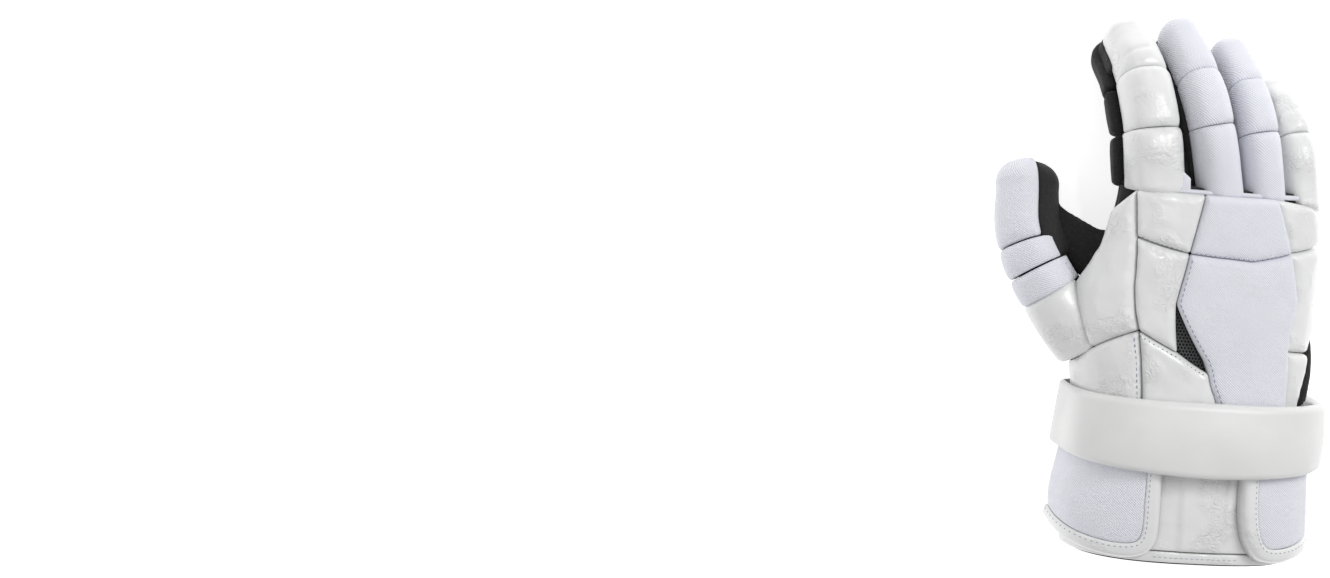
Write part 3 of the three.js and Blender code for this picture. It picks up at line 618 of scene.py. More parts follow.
@dataclass(frozen=True)
class WovenMesh:
    """Close mesh with a diagonal twill."""

    name: str = "woven_mesh"
    ridge: Colour = (0.92, 0.925, 0.98)
    # groove: painted shade of the weave where it sinks between the ribs; the mottle below also uses it as a darker
    # tone
    groove: Colour = (0.7, 0.71, 0.78)
    seam_shade: Colour = (0.58, 0.59, 0.64)
    pitch: float = 1.45  # from rib to rib
    bead: float = 1.1  # from bead to bead along a rib
    slope: float = 0.9  # the ribs' slant
    depth: float = 0.3

    def build(self) -> bpy.types.Material:
        """Returns the material: ribs that run across the pad, each beaded by the thread that crosses it, with
        painted shade in the grooves between them.
        """
        bench = Bench(self.name)
        vector, x, y, distance = bench.pattern()
        wobble = bench.noise(vector, 9, 1) * 0.5
        ribs = ((x * self.slope + y) / self.pitch + wobble).wave()
        beads = ((x - y * self.slope) / self.bead + wobble).wave()
        weave = ribs * 0.75 + ribs * beads * 0.25
        fuzz = bench.noise(vector, 0.35, 2)
        # darker in the grooves than on the ribs: painted shade that follows the weave's relief
        body = bench.blend(weave * 0.8 + fuzz * 0.2, self.groove, self.ridge)
        mottled = bench.blend(bench.mottle(vector, 30) * 0.12, body, self.groove)
        _, colour = bench.shade_seams(distance, mottled, self.seam_shade)
        return bench.finish(colour, 0.82 - weave * 0.1, weave + fuzz * 0.3, self.depth, Sheen_Weight=0.1)


@dataclass(frozen=True)
class BlackCloth:
    """Dark knitted cloth of the inner glove."""

    name: str = "black_cloth"
    colour: Colour = (0.008, 0.0075, 0.0075)
    worn: Colour = (0.03, 0.028, 0.028)
    knit: float = 0.9
    depth: float = 0.25

    def build(self) -> bpy.types.Material:
        """Returns the material: a fine knit with faint paler fibres."""
        bench = Bench(self.name)
        place = bench.place()
        knit = {"Vector": place, "Scale": 1 / self.knit}
        cells = bench.output("ShaderNodeTexVoronoi", {"distance": "EUCLIDEAN"}, knit, "Distance")
        fibres = bench.noise(place, 1.6, 4, 0.8)
        folds = bench.noise(place, 14, 2)
        colour = bench.blend(fibres.rise(0.45, 0.8) * 0.8, self.colour, self.worn)
        return bench.finish(colour, 0.85, cells * 0.5 + folds * 2.2, self.depth, Sheen_Weight=0.06)


@dataclass(frozen=True)
class StrapSkin:
    """Smooth satin cover of the strap."""

    name: str = "strap_skin"
    colour: Colour = (0.74, 0.74, 0.735)
    shade: Colour = (0.65, 0.65, 0.645)

    def build(self) -> bpy.types.Material:
        """Returns the material: an even skin with a faint grain."""
        bench = Bench(self.name)
        place = bench.place()
        colour = bench.blend(bench.mottle(place, 30) * 0.4, self.colour, self.shade)
        height = bench.noise(place, 0.6, 2) * 0.25 + bench.noise(place, 16, 2)
        roughness = bench.noise(place, 8, 3) * 0.15 + 0.33
        return bench.finish(colour, roughness, height, 0.25, Coat_Weight=0.1, Coat_Roughness=0.25)


@dataclass(frozen=True)
class Thread:
    """Sewing thread."""

    name: str
    colour: Colour
    roughness: float = 0.6

    def build(self) -> bpy.types.Material:
        """Returns the material: twisted plies."""
        bench = Bench(self.name)
        plies = bench.noise(bench.place(), 0.5, 2)
        colour = bench.blend(plies * 0.5, self.colour, tuple(value * 0.6 for value in self.colour))
        return bench.finish(colour, self.roughness, plies, 0.1)


@dataclass(frozen=True)
class VentCord:
    """Cords of the honeycomb vent."""

    name: str = "vent_cord"
    colour: Colour = (0.085, 0.088, 0.09)

    def build(self) -> bpy.types.Material:
        """Returns the material: dull grey filament."""
        bench = Bench(self.name)
        fibres = bench.noise(bench.place(), 0.5, 3)
        colour = bench.blend(fibres, self.colour, tuple(value * 0.5 for value in self.colour))
        return bench.finish(colour, 0.55, fibres, 0.1)


@dataclass(frozen=True)
class PaleFloor:
    """Plain floor."""

    name: str = "pale_floor"
    colour: Colour = (0.87, 0.87, 0.87)
    cloud: Colour = (0.8, 0.8, 0.8)
    glow: float = 0.75

    def build(self) -> bpy.types.Material:
        """Returns the material: an almost even pale surface."""
        bench = Bench(self.name)
        colour = bench.blend(bench.noise(bench.place(), 400, 1) * 0.05, self.colour, self.cloud)
        return bench.finish(colour, 0.9, None, 0, Emission_Color=(1, 1, 1), Emission_Strength=self.glow)


class Finish(Enum):
    """The finishes on the glove, each with the record's slot that it stands for."""

    LEATHER = (CoatedLeather(), "white_leather")
    MESH = (WovenMesh(), "white_weave")
    BLACK = (BlackCloth(), "black_fabric")
    STRAP = (StrapSkin(), "strap_leather")
    VENT = (VentCord(), "vent_mesh")
    BLUE_THREAD = (Thread("blue_grey_thread", (0.3, 0.33, 0.46)), "white_weave")
    DARK_THREAD = (Thread("dark_thread", (0.045, 0.045, 0.055)), "black_fabric")
    WHITE_THREAD = (Thread("white_thread", (0.6, 0.61, 0.66)), "white_weave")

    def material(self) -> bpy.types.Material:
        """Returns the finish's material, made at its first use."""
        return bpy.data.materials.get(self.value[0].name) or self.value[0].build()

    def dress(self, piece: bpy.types.Object) -> None:
        """Gives a piece this finish."""
        piece.data.materials.clear()
        piece.data.materials.append(self.material())


# Flat patterns


def cross(a: np.ndarray, b: np.ndarray) -> np.ndarray:
    """Returns the cross product of flat vectors."""
    return a[..., 0] * b[..., 1] - a[..., 1] * b[..., 0]


def left_of(ways: np.ndarray) -> np.ndarray:
    """Returns unit vectors to the left of rows of flat vectors."""
    return np.stack([-ways[:, 1], ways[:, 0]], axis=1) / np.linalg.norm(ways, axis=1)[:, None]


def area(outline: np.ndarray) -> float:
    """Returns an outline's area, positive where it runs anticlockwise."""
    return float(cross(outline, np.roll(outline, -1, axis=0)).sum() / 2)


def anticlockwise(outline: np.ndarray) -> np.ndarray:
    """Returns the outline running anticlockwise."""
    return outline if area(outline) > 0 else outline[::-1]


def offset(outline: np.ndarray, distances: Union[float, Sequence[float]]) -> np.ndarray:
    """Moves each edge of an anticlockwise outline inwards.

    Args:
        outline: Its corners.
        distances: How far each edge moves; edge i leaves corner i.

    Returns:
        The new corners.
    """
    moves = np.broadcast_to(np.asarray(distances, float), (len(outline),))
    normals = left_of(np.roll(outline, -1, axis=0) - outline)
    before, moves_before = np.roll(normals, 1, axis=0), np.roll(moves, 1)
    turn = cross(before, normals)
    straight = np.abs(turn) < STRAIGHT
    safe = np.where(straight, 1, turn)
    x = (moves_before * normals[:, 1] - moves * before[:, 1]) / safe
    y = (moves * before[:, 0] - moves_before * normals[:, 0]) / safe
    plain = (before * moves_before[:, None] + normals * moves[:, None]) / 2
    return outline + np.where(straight[:, None], plain, np.stack([x, y], axis=1))


def round_corners(outline: np.ndarray, radii: Union[float, Sequence[float]], steps: int = 7) -> np.ndarray:
    """Rounds an outline's sharp corners.

    Args:
        outline: Its corners.
        radii: How far each corner's curve reaches along its edges.
        steps: Points for each curve.

    Returns:
        The rounded outline.
    """
    reaches = np.broadcast_to(np.asarray(radii, float), (len(outline),))
    neighbours = np.roll(outline, 1, axis=0), np.roll(outline, -1, axis=0)
    points = []
    for corner, before, after, reach in zip(outline, *neighbours, reaches):
        ways = [before - corner, after - corner]
        lengths = [np.linalg.norm(way) for way in ways]
        if ways[0] @ ways[1] / (lengths[0] * lengths[1]) < -0.985:
            points.append(corner)
            continue
        reaches_in = [min(reach, length * CORNER_FOLLOWS) / length for length in lengths]
        start, end = (corner + way * share for way, share in zip(ways, reaches_in))
        for share in np.linspace(0, 1, steps):
            points.append((1 - share) ** 2 * start + 2 * share * (1 - share) * corner + share**2 * end)
    return np.array(points)


def resample(points: np.ndarray, step: float, closed: bool = True) -> np.ndarray:
    """Spaces points evenly along a line.

    Args:
        points: The line.
        step: About how far apart they come.
        closed: Whether the line's end meets its start.

    Returns:
        The new points.
    """
    line = np.vstack([points, points[:1]]) if closed else points
    distances = np.concatenate([[0], np.cumsum(np.linalg.norm(np.diff(line, axis=0), axis=1))])
    count = max(4, round(distances[-1] / step))
    places = np.linspace(0, distances[-1], count + (0 if closed else 1), endpoint=not closed)
    return np.stack([np.interp(places, distances, line[:, k]) for k in range(line.shape[1])], axis=1)


def distance_to(points: np.ndarray, outline: np.ndarray) -> np.ndarray:
    """Measures distances to a closed outline.

    Args:
        points: Where to measure from.
        outline: The outline.

    Returns:
        Each point's distance.
    """
    start, way = outline, np.roll(outline, -1, axis=0) - outline
    result = np.full(len(points), np.inf)
    for a, along in zip(start, way):
        share = np.clip(((points - a) @ along) / (along @ along), 0, 1)
        result = np.minimum(result, np.linalg.norm(points - a - share[:, None] * along, axis=1))
    return result


def inside(points: np.ndarray, outline: np.ndarray) -> np.ndarray:
    """Sorts points by a closed outline.

    Args:
        points: The points.
        outline: The outline.

    Returns:
        Whether each point is inside.
    """
    crossings = np.zeros(len(points), int)
    for a, b in zip(outline, np.roll(outline, -1, axis=0)):
        spans = (a[1] > points[:, 1]) != (b[1] > points[:, 1])
        rise = b[1] - a[1] if b[1] != a[1] else 1e-9
        crossings += spans & (points[:, 0] < a[0] + (points[:, 1] - a[1]) / rise * (b[0] - a[0]))
    return crossings % 2 == 1


def triangulate(rim: np.ndarray, free: np.ndarray) -> tuple[np.ndarray, list[tuple[int, int, int]]]:
    """Fills a rim with triangles through free points.

    Args:
        rim: Closed outline.
        free: Points inside it.

    Returns:
        All points, the rim's first and in their order, and the triangles.
    """
    count = len(rim)
    points = [Vector(point) for point in (*rim, *free)]
    edges = [(i, (i + 1) % count) for i in range(count)]
    _, _, faces, origins, _, _ = delaunay_2d_cdt(points, edges, [], 1, 1e-6)
    order = [origin[0] if origin else -1 for origin in origins]
    result = np.array([tuple(point) for point in (*rim, *free)])
    triangles = [tuple(order[i] for i in face) for face in faces]
    return result, [triangle for triangle in triangles if -1 not in triangle]


def soften(points: np.ndarray, closed: bool = False, rounds: int = 2) -> np.ndarray:
    """Cuts a line's corners off over and over, and keeps the ends of an open one.

    Args:
        points: The line.
        closed: Whether its end meets its start.
        rounds: How often the corners are cut.

    Returns:
        The softer line.
    """
    for _ in range(rounds):
        ahead = np.roll(points, -1, axis=0)
        cut = np.stack([points * 0.75 + ahead * 0.25, points * 0.25 + ahead * 0.75], axis=1).reshape(-1, 2)
        points = cut if closed else np.vstack([points[:1], cut[1:-3], points[-1:]])
    return points


def at_shares(line: np.ndarray, shares: np.ndarray) -> np.ndarray:
    """Finds places along an open line.

    Args:
        line: The line.
        shares: Shares of its length.

    Returns:
        A point for each share.
    """
    distances = np.concatenate([[0], np.cumsum(np.linalg.norm(np.diff(line, axis=0), axis=1))])
    places = shares * distances[-1]
    return np.stack([np.interp(places, distances, line[:, k]) for k in range(line.shape[1])], axis=1)


# Meshes


def select_only(piece: bpy.types.Object) -> None:
    """Leaves one object selected and active."""
    bpy.ops.object.select_all(action="DESELECT")
    piece.select_set(True)
    bpy.context.view_layer.objects.active = piece


def edit_all(piece: bpy.types.Object, *operations: tuple[Callable, dict[str, object]]) -> None:
    """Runs edit-mode operators on everything in a piece.

    Args:
        piece: The piece.
        operations: The operators, each with its settings.
    """
    select_only(piece)
    bpy.ops.object.mode_set(mode="EDIT")
    bpy.ops.mesh.select_all(action="SELECT")
    for operation, settings in operations:
        operation(**settings)
    bpy.ops.object.mode_set(mode="OBJECT")


def set_pattern(piece: bpy.types.Object, values: np.ndarray) -> None:
    """Stores each vertex's place in the flat pattern."""
    attribute = piece.data.attributes.new(PATTERN, "FLOAT_VECTOR", "POINT")
    attribute.data.foreach_set("vector", values.astype(np.float32).ravel())


def mesh_piece(name: str, points: np.ndarray, faces: Sequence[Sequence[int]]) -> bpy.types.Object:
    """Makes a smooth-shaded object.

    Args:
        name: Its name.
        points: Its vertices, in the glove's own frame.
        faces: Its faces.

    Returns:
        The object.
    """
    mesh = bpy.data.meshes.new(name)
    mesh.from_pydata([tuple(point) for point in PLACE.to_row(points)], [], faces)
    mesh.update()
    piece = bpy.data.objects.new(name, mesh)
    bpy.context.scene.collection.objects.link(piece)
    edit_all(piece, (bpy.ops.mesh.normals_make_consistent, {"inside": False}))
    mesh.shade_smooth()
    return piece


def apply_modifier(piece: bpy.types.Object, name: str, kind: str, **settings: object) -> None:
    """Adds a modifier, sets it and applies it.

    Args:
        piece: The piece.
        name: The modifier's name.
        kind: Its type.
        settings: Its properties.
    """
    select_only(piece)
    modifier = piece.modifiers.new(name, kind)
    for key, value in settings.items():
        setattr(modifier, key, value)
    bpy.ops.object.modifier_apply(modifier=name)


def wrapped_grid(
    name: str, columns: int, rows: int, place: Callable[[np.ndarray, np.ndarray], np.ndarray],
    pattern: Callable[[np.ndarray, np.ndarray], np.ndarray],
) -> bpy.types.Object:
    """Starts from a flat grid and lays it where a formula says.

    Args:
        name: The piece's name.
        columns: Squares across.
        rows: Squares along.
        place: Gives points of the glove's frame for shares across and along.
        pattern: Gives the flat pattern's coordinates for them.

    Returns:
        The piece, with meeting edges joined.
    """
    bpy.ops.object.select_all(action="DESELECT")
    bpy.ops.mesh.primitive_grid_add(x_subdivisions=columns, y_subdivisions=rows, size=1)
    piece = bpy.context.active_object
    piece.name = piece.data.name = name
    flat = np.empty(len(piece.data.vertices) * 3)
    piece.data.vertices.foreach_get("co", flat)
    across, along = (flat.reshape(-1, 3)[:, :2] + 0.5).T
    set_pattern(piece, pattern(across, along))
    piece.data.vertices.foreach_set("co", PLACE.to_row(place(across, along)).astype(np.float32).ravel())
    join = (bpy.ops.mesh.remove_doubles, {"threshold": 2e-5})
    edit_all(piece, join, (bpy.ops.mesh.normals_make_consistent, {"inside": False}))
    piece.data.shade_smooth()
    return piece


def swept(name: str, rings: np.ndarray, patterns: np.ndarray, closed: bool) -> bpy.types.Object:
    """Joins rings of points into one body.

    Args:
        name: The piece's name.
        rings: Points of the glove's frame, by ring and by place in the ring.
        patterns: Flat pattern coordinates for them.
        closed: Whether the last ring meets the first; otherwise both ends are filled.

    Returns:
        The piece.
    """
    rows, count = rings.shape[:2]
    faces = []
    for row in range(rows if closed else rows - 1):
        after = (row + 1) % rows
        for i in range(count):
            j = (i + 1) % count
            faces.append([row * count + i, row * count + j, after * count + j, after * count + i])
    if not closed:
        faces.append(list(range(count))[::-1])
        faces.append(list(range((rows - 1) * count, rows * count)))
    piece = mesh_piece(name, rings.reshape(-1, 3), faces)
    set_pattern(piece, patterns.reshape(-1, 3))
    return piece


def refined_copy(node: bpy.types.Object, voxel: float) -> bpy.types.Object:
    """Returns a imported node's copy, remeshed and smoothed.

    Args:
        node: The node's object.
        voxel: Size of the remesh in millimetres.

    Returns:
        The copy.
    """
    piece = bpy.data.objects.new(f"{node.name}_cloth", node.data.copy())
    bpy.context.scene.collection.objects.link(piece)
    edit_all(piece, (bpy.ops.mesh.remove_doubles, {"threshold": 1e-6}))
    apply_modifier(piece, "even", "REMESH", mode="VOXEL", voxel_size=voxel * MM)
    apply_modifier(piece, "soft", "SMOOTH", factor=0.5, iterations=6)
    piece.data.shade_smooth()
    return piece


@dataclass
class Stitches:
    """A row of stitches along a line of a flat pattern."""

    name: str
    line: np.ndarray
    wrap: Wrap
    lift: float
    finish: Finish
    pitch: float = 3.2
    length: float = 2.1
    width: float = 0.75
    proud: float = 0.45

    def build(self) -> None:
        """Models one stitch and copies it along the line."""
        bpy.ops.object.select_all(action="DESELECT")
        bpy.ops.mesh.primitive_uv_sphere_add(segments=8, ring_count=6, radius=0.5)
        model = bpy.context.active_object
        size = (self.width, self.length, 2 * self.proud)
        shape = np.array([vertex.co for vertex in model.data.vertices]) * size
        faces = [list(polygon.vertices) for polygon in model.data.polygons]
        bpy.data.objects.remove(model)
        flat = resample(self.line, self.pitch / 8, closed=False)
        count = len(flat) / 8
        shares = np.arange(0.5, count) / count
        middles = at_shares(flat, shares)
        ways = at_shares(flat, np.clip(shares + 1e-3, 0, 1)) - middles
        points, all_faces = [], []
        for middle, way in zip(middles, ways):
            ahead = middle + way / max(np.linalg.norm(way), 1e-9) * 0.5
            spots = np.array([middle, ahead, middle])
            lifts = np.array([self.lift, self.lift, self.lift + 1])
            place, front, over = self.wrap(spots[:, 0], spots[:, 1], lifts)
            along = (front - place) / np.linalg.norm(front - place)
            up = over - place
            up = up - along * (up @ along)
            up /= np.linalg.norm(up)
            start = len(points) * len(shape)
            points.append(place + shape @ np.array([np.cross(along, up), along, up]))
            all_faces.extend([start + i for i in face] for face in faces)
        settle(mesh_piece(self.name, np.vstack(points), all_faces), self.finish)


def settle(piece: bpy.types.Object, finish: Finish, *nodes: str, fill: Optional[float] = None) -> None:
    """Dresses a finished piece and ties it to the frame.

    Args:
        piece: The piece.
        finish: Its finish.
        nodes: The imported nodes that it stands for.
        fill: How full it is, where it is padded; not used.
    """
    finish.dress(piece)
    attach(piece, "root")
    if nodes:
        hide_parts(*nodes)
    log.info("%s: %d faces", piece.name, len(piece.data.polygons))


@dataclass
class Pinch:
    """A short crease where a cover is gathered at a corner."""

    x: float
    y: float
    angle: float  # degrees, from +X
    length: float = 6.5
    depth: float = 1.1
    width: float = 0.75

    def dent(self, points: np.ndarray) -> np.ndarray:
        """Returns how far the crease sinks each point."""
        way = np.array([math.cos(math.radians(self.angle)), math.sin(math.radians(self.angle))])
        local = points - np.array([self.x, self.y])
        along = local @ way
        aside = cross(np.broadcast_to(way, local.shape), local)
        fade = smoothstep(along, -2.5, 0) * (1 - smoothstep(along, self.length * 0.35, self.length))
        return self.depth * fade * np.exp(-((aside / self.width) ** 2))


@dataclass
class Pad:
    """A foam pad: a flat pattern with a domed top and rounded, drawn-in edges, wrapped into place."""

    name: str
    outline: np.ndarray
    wrap: Wrap
    thickness: float
    finish: Finish
    seat: float = SEAT
    edge: float = 4.5  # how far the rounded edge reaches in
    drop: float = 4.5  # and down
    crown: float = 1.2  # how much the middle stands over the edge
    tuck: float = 1.0  # how far the foot of the side is drawn in
    corner: Union[float, Sequence[float]] = 4.0
    step: float = 1.25
    lumps: float = 0.35
    inset: float = SEAM / 2
    pinches: tuple[Pinch, ...] = ()
    fill: Optional[float] = 0.8
    ridge: Optional[tuple[float, float, float]] = None  # a raised middle: its sides and its height
    rings: tuple[float, ...] = (0.05, 0.17, 0.36, 0.62, 0.95)  # shares of the edge at which its points lie
    # rings down the side, by their shares of the tuck and of the height
    wall: tuple[tuple[float, float], ...] = ((0.0, 0.72), (0.25, 0.4), (1.0, 0.0))
    stands_for: Optional[tuple[str, ...]] = None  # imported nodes; the one of the same name where it is left out

    def height(self, distance: np.ndarray) -> np.ndarray:
        """Returns the top's height over the liner at a distance in from the rim."""
        reach = np.clip(1 - distance / self.edge, 0, 1)
        rounding = self.drop * (1 - np.sqrt(np.maximum(1 - reach**2.2, 0)))
        return self.seat + self.thickness - rounding - self.crown * np.exp(-distance / (2.2 * self.edge))

    def top_at(self, distance: float) -> float:
        """Returns the top's height at one distance in from the rim."""
        return float(self.height(np.array([distance]))[0])

    def relief(self, points: np.ndarray, distance: np.ndarray) -> np.ndarray:
        """Works out the small unevenness of the cover.

        Args:
            points: Points of the flat pattern.
            distance: How far in from the rim they are.

        Returns:
            What is added to their heights.
        """
        seed = 17.0 * len(self.name)
        broad = [noise.noise(Vector((x / 14, y / 14, seed))) for x, y in points]
        gather = [noise.noise(Vector((x / 4.5, y / 4.5, seed + 9))) for x, y in points]
        near = np.exp(-distance / 4)
        result = self.lumps * (np.array(broad) + 0.9 * near * np.array(gather))
        for pinch in self.pinches:
            result = result - pinch.dent(points)
        if self.ridge:
            left, right, height = self.ridge
            rise = smoothstep(points[:, 0], left - 4, left + 1)
            result = result + height * rise * (1 - smoothstep(points[:, 0], right - 1, right + 4))
        return result

    def build(self) -> bpy.types.Object:
        """Returns the finished pad."""
        rim = resample(round_corners(offset(anticlockwise(self.outline), self.inset), self.corner), self.step)
        count = len(rim)
        inwards = left_of(np.roll(rim, -1, axis=0) - np.roll(rim, 1, axis=0))
        near = []
        for reach in self.edge * np.array(self.rings):
            ring = rim + inwards * reach
            near.append(ring[(distance_to(ring, rim) > 0.8 * reach) & inside(ring, rim)])
        low, high = rim.min(0), rim.max(0)
        columns = np.arange(low[0], high[0], self.step)
        rows = np.arange(low[1], high[1], self.step * 0.87)
        grid = np.array([(x + (k % 2) * self.step / 2, y) for k, y in enumerate(rows) for x in columns])
        deep = inside(grid, rim)
        deep[deep] = distance_to(grid[deep], rim) > self.edge * 1.15
        top, triangles = triangulate(rim, np.vstack([*near, grid[deep]]))
        distance = distance_to(top, rim)
        distance[:count] = 0
        lift = self.height(distance) + self.relief(top, distance) * smoothstep(distance, -1, 2)
        side = self.top_at(0) - self.seat
        points, lifts, patterns, faces = [top], [lift], [np.column_stack([top, distance])], list(triangles)
        before = np.arange(count)
        for inset, share in self.wall:
            points.append(rim + inwards * self.tuck * inset)
            lifts.append(np.full(count, self.seat + side * share))
            depth = side * (1 - share)
            patterns.append(np.column_stack([rim - inwards * depth, np.full(count, -depth)]))
            start = sum(len(part) for part in points[:-1])
            after = np.arange(start, start + count)
            for i in range(count):
                j = (i + 1) % count
                faces.append((before[i], after[i], after[j], before[j]))
            before = after
        _, floor_faces = triangulate(points[-1], np.empty((0, 2)))
        faces.extend(tuple(before[i] for i in face[::-1]) for face in floor_faces)
        flat, heights = np.vstack(points), np.concatenate(lifts)
        places = self.wrap(flat[:, 0], flat[:, 1], heights)
        piece = mesh_piece(self.name, places, [list(map(int, face)) for face in faces])
        set_pattern(piece, np.vstack(patterns))
        nodes = (self.name,) if self.stands_for is None else self.stands_for
        settle(piece, self.finish, *nodes, fill=self.fill)
        return piece


def cloth_pad(name: str, outline: np.ndarray, wrap: Wrap, thickness: float, **sizes: float) -> None:
    """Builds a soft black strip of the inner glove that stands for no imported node.

    Args:
        name: Its name.
        outline: Its flat pattern.
        wrap: Lays the pattern in place.
        thickness: Its thickness.
        sizes: The pad's other sizes.
    """
    sizes.update(seat=0.1, crown=0.4, fill=0.4)
    Pad(name, outline, wrap, thickness, Finish.BLACK, stands_for=(), **sizes).build()


# Sub-assemblies


@dataclass
class BackArmour:
    """The pads on the back of the hand, and the vent between two of them."""

    thickness: float = 12
    ulnar_thickness: float = 9
    vent_thickness: float = 3.5
    side_thickness: float = 8
    side_cloth: tuple[tuple[float, float], ...] = ((0.66, -0.03), (1.35, -0.03), (1.35, 0.34), (0.86, 0.34))
    # quarter turns round from the back's centre line, and the share of the hand's length from the wrist line
    seams: dict[str, tuple[float, float]] = field(default_factory=lambda: {
        "web_top": (-0.8, 0.89), "knuckle_web": (-0.56, 1.0), "knuckle_index": (-0.09, 1.0),
        "knuckle_ring": (0.235, 1.0), "knuckle_pinky": (0.6, 0.97), "knuckle_edge": (0.8, 0.88),
        "meta_web": (-0.49, 0.775), "meta_plate": (-0.145, 0.715), "plate_top": (0.1, 0.695),
        "plate_ring": (0.355, 0.74), "meta_edge": (0.8, 0.77), "web_side": (-0.84, 0.72),
        "thumb_crotch": (-1.0, 0.52), "web_low": (-0.76, 0.215), "wrist_meta": (-0.36, 0.33),
        "vent_top": (-0.17, 0.47), "vent_meta": (-0.15, 0.235), "vent_plate": (-0.03, 0.2),
        "vent_wrist": (-0.015, 0.145), "plate_waist": (0.45, 0.5), "plate_low_right": (0.37, 0.265),
        "ulnar_side": (0.86, 0.6), "ulnar_low": (0.82, 0.36), "ulnar_wrist": (0.65, 0.25),
        "wrist_thumb": (-1.12, 0.11), "wrist_radial": (-1.06, -0.06), "wrist_middle": (-0.345, -0.06),
        "wrist_plate": (0.02, -0.06), "wrist_ulnar": (0.4, -0.06), "wrist_edge": (0.56, -0.06),
    })
    pads: dict[str, tuple[Finish, tuple[str, ...]]] = field(default_factory=lambda: {
        "index_knuckle_pad": (Finish.LEATHER, ("knuckle_web", "knuckle_index", "meta_plate", "meta_web")),
        "central_knuckle_pad": (
            Finish.MESH, ("knuckle_index", "knuckle_ring", "plate_ring", "plate_top", "meta_plate")
        ),
        "ulnar_knuckle_pad": (
            Finish.LEATHER, ("knuckle_ring", "knuckle_pinky", "knuckle_edge", "meta_edge", "plate_ring")
        ),
        "web_block": (
            Finish.LEATHER,
            ("web_top", "knuckle_web", "meta_web", "wrist_meta", "web_low", "thumb_crotch", "web_side"),
        ),
        "index_metacarpal_pad": (
            Finish.LEATHER, ("meta_web", "meta_plate", "vent_top", "vent_meta", "wrist_meta")
        ),
        "back_plate": (
            Finish.MESH,
            ("meta_plate", "plate_top", "plate_ring", "plate_waist", "plate_low_right", "wrist_ulnar",
             "wrist_plate", "vent_wrist", "vent_plate", "vent_top"),
        ),
        "ulnar_metacarpal_pad": (
            Finish.LEATHER,
            ("plate_ring", "meta_edge", "ulnar_side", "ulnar_low", "ulnar_wrist", "plate_low_right",
             "plate_waist"),
        ),
        "radial_wrist_pad": (
            Finish.LEATHER, ("wrist_thumb", "web_low", "wrist_meta", "wrist_middle", "wrist_radial")
        ),
        "middle_wrist_pad": (
            Finish.LEATHER, ("wrist_meta", "vent_meta", "vent_wrist", "wrist_plate", "wrist_middle")
        ),
        "ulnar_wrist_pad": (Finish.LEATHER, ("plate_low_right", "ulnar_wrist", "wrist_edge", "wrist_ulnar")),
    })
    vent_pitch: float = 2.3
    vent_hole: float = 0.66  # a hole's size as a share of its cell's
    # the pad, the seam that its stitches follow, how far in, the thread, and the stitches' pitch and length
    rows: tuple[tuple[str, tuple[str, ...], float, Finish, float, float], ...] = (
        ("back_plate", ("meta_plate", "vent_top", "vent_plate", "vent_wrist", "wrist_plate"), 2.4,
         Finish.BLUE_THREAD, 3.4, 2.2),
        ("central_knuckle_pad", ("meta_plate", "plate_top", "plate_ring"), 0.9, Finish.BLUE_THREAD, 3.2, 1.2),
        ("middle_wrist_pad", ("vent_wrist", "vent_meta", "wrist_meta"), 1.9, Finish.DARK_THREAD, 3.0, 0.9),
        ("radial_wrist_pad", ("wrist_middle", "wrist_meta"), 2.2, Finish.BLUE_THREAD, 3.6, 2.2),
        ("index_knuckle_pad", ("meta_web", "meta_plate"), 0.9, Finish.BLUE_THREAD, 3.4, 1.2),
    )

    def outline(self, names: Sequence[str]) -> np.ndarray:
        """Returns the flat outline through seam points."""
        return HAND.outline([self.seams[name] for name in names], HAND.hand_length)

    def seam_stitches(self, pad: Pad, names: Sequence[str], inset: float, *thread: object) -> None:
        """Sews a row of stitches along one seam of a pad.

        Args:
            pad: The pad that they lie on.
            names: The seam points, with the pad on the left.
            inset: How far in from the seam the row runs.
            thread: The thread's finish, and the stitches' pitch and length.
        """
        spots = np.array([self.seams[name] for name in names]) * (1, HAND.hand_length)
        share = np.arange(12)[:, None] / 12
        dense = np.vstack([*[mix(a, b, share) for a, b in zip(spots, spots[1:])], spots[-1:]])
        line = np.column_stack([HAND.rule.flat(dense[:, 0]), dense[:, 1]])
        aside = left_of(np.gradient(line, axis=0))
        row = soften(resample(line + aside * inset, 2.5, closed=False)[1:-1])
        top = pad.top_at(inset)
        Stitches(f"{pad.name}_stitches", row, HAND.wrap, top, *thread, width=0.55, proud=0.35).build()

    def build(self) -> None:
        """Builds the pads and the vent."""
        built = {}
        for name, (finish, corners) in self.pads.items():
            thickness = self.ulnar_thickness if name.startswith("ulnar") else self.thickness
            built[name] = Pad(
                name, self.outline(corners), HAND.wrap, thickness, finish, edge=4.6, drop=4.8, crown=1.2,
                corner=2.2, tuck=0.3, inset=0.07, lumps=0.8 if finish is Finish.LEATHER else 0.35,
            )
            built[name].build()
        for name, *row in self.rows:
            self.seam_stitches(built[name], *row)
        cloth_pad(
            "ulnar_side_cloth", HAND.outline(self.side_cloth, HAND.hand_length), HAND.wrap, self.side_thickness,
            edge=5, drop=5, corner=6, step=1.8, lumps=0.8,
        )
        self.vent()

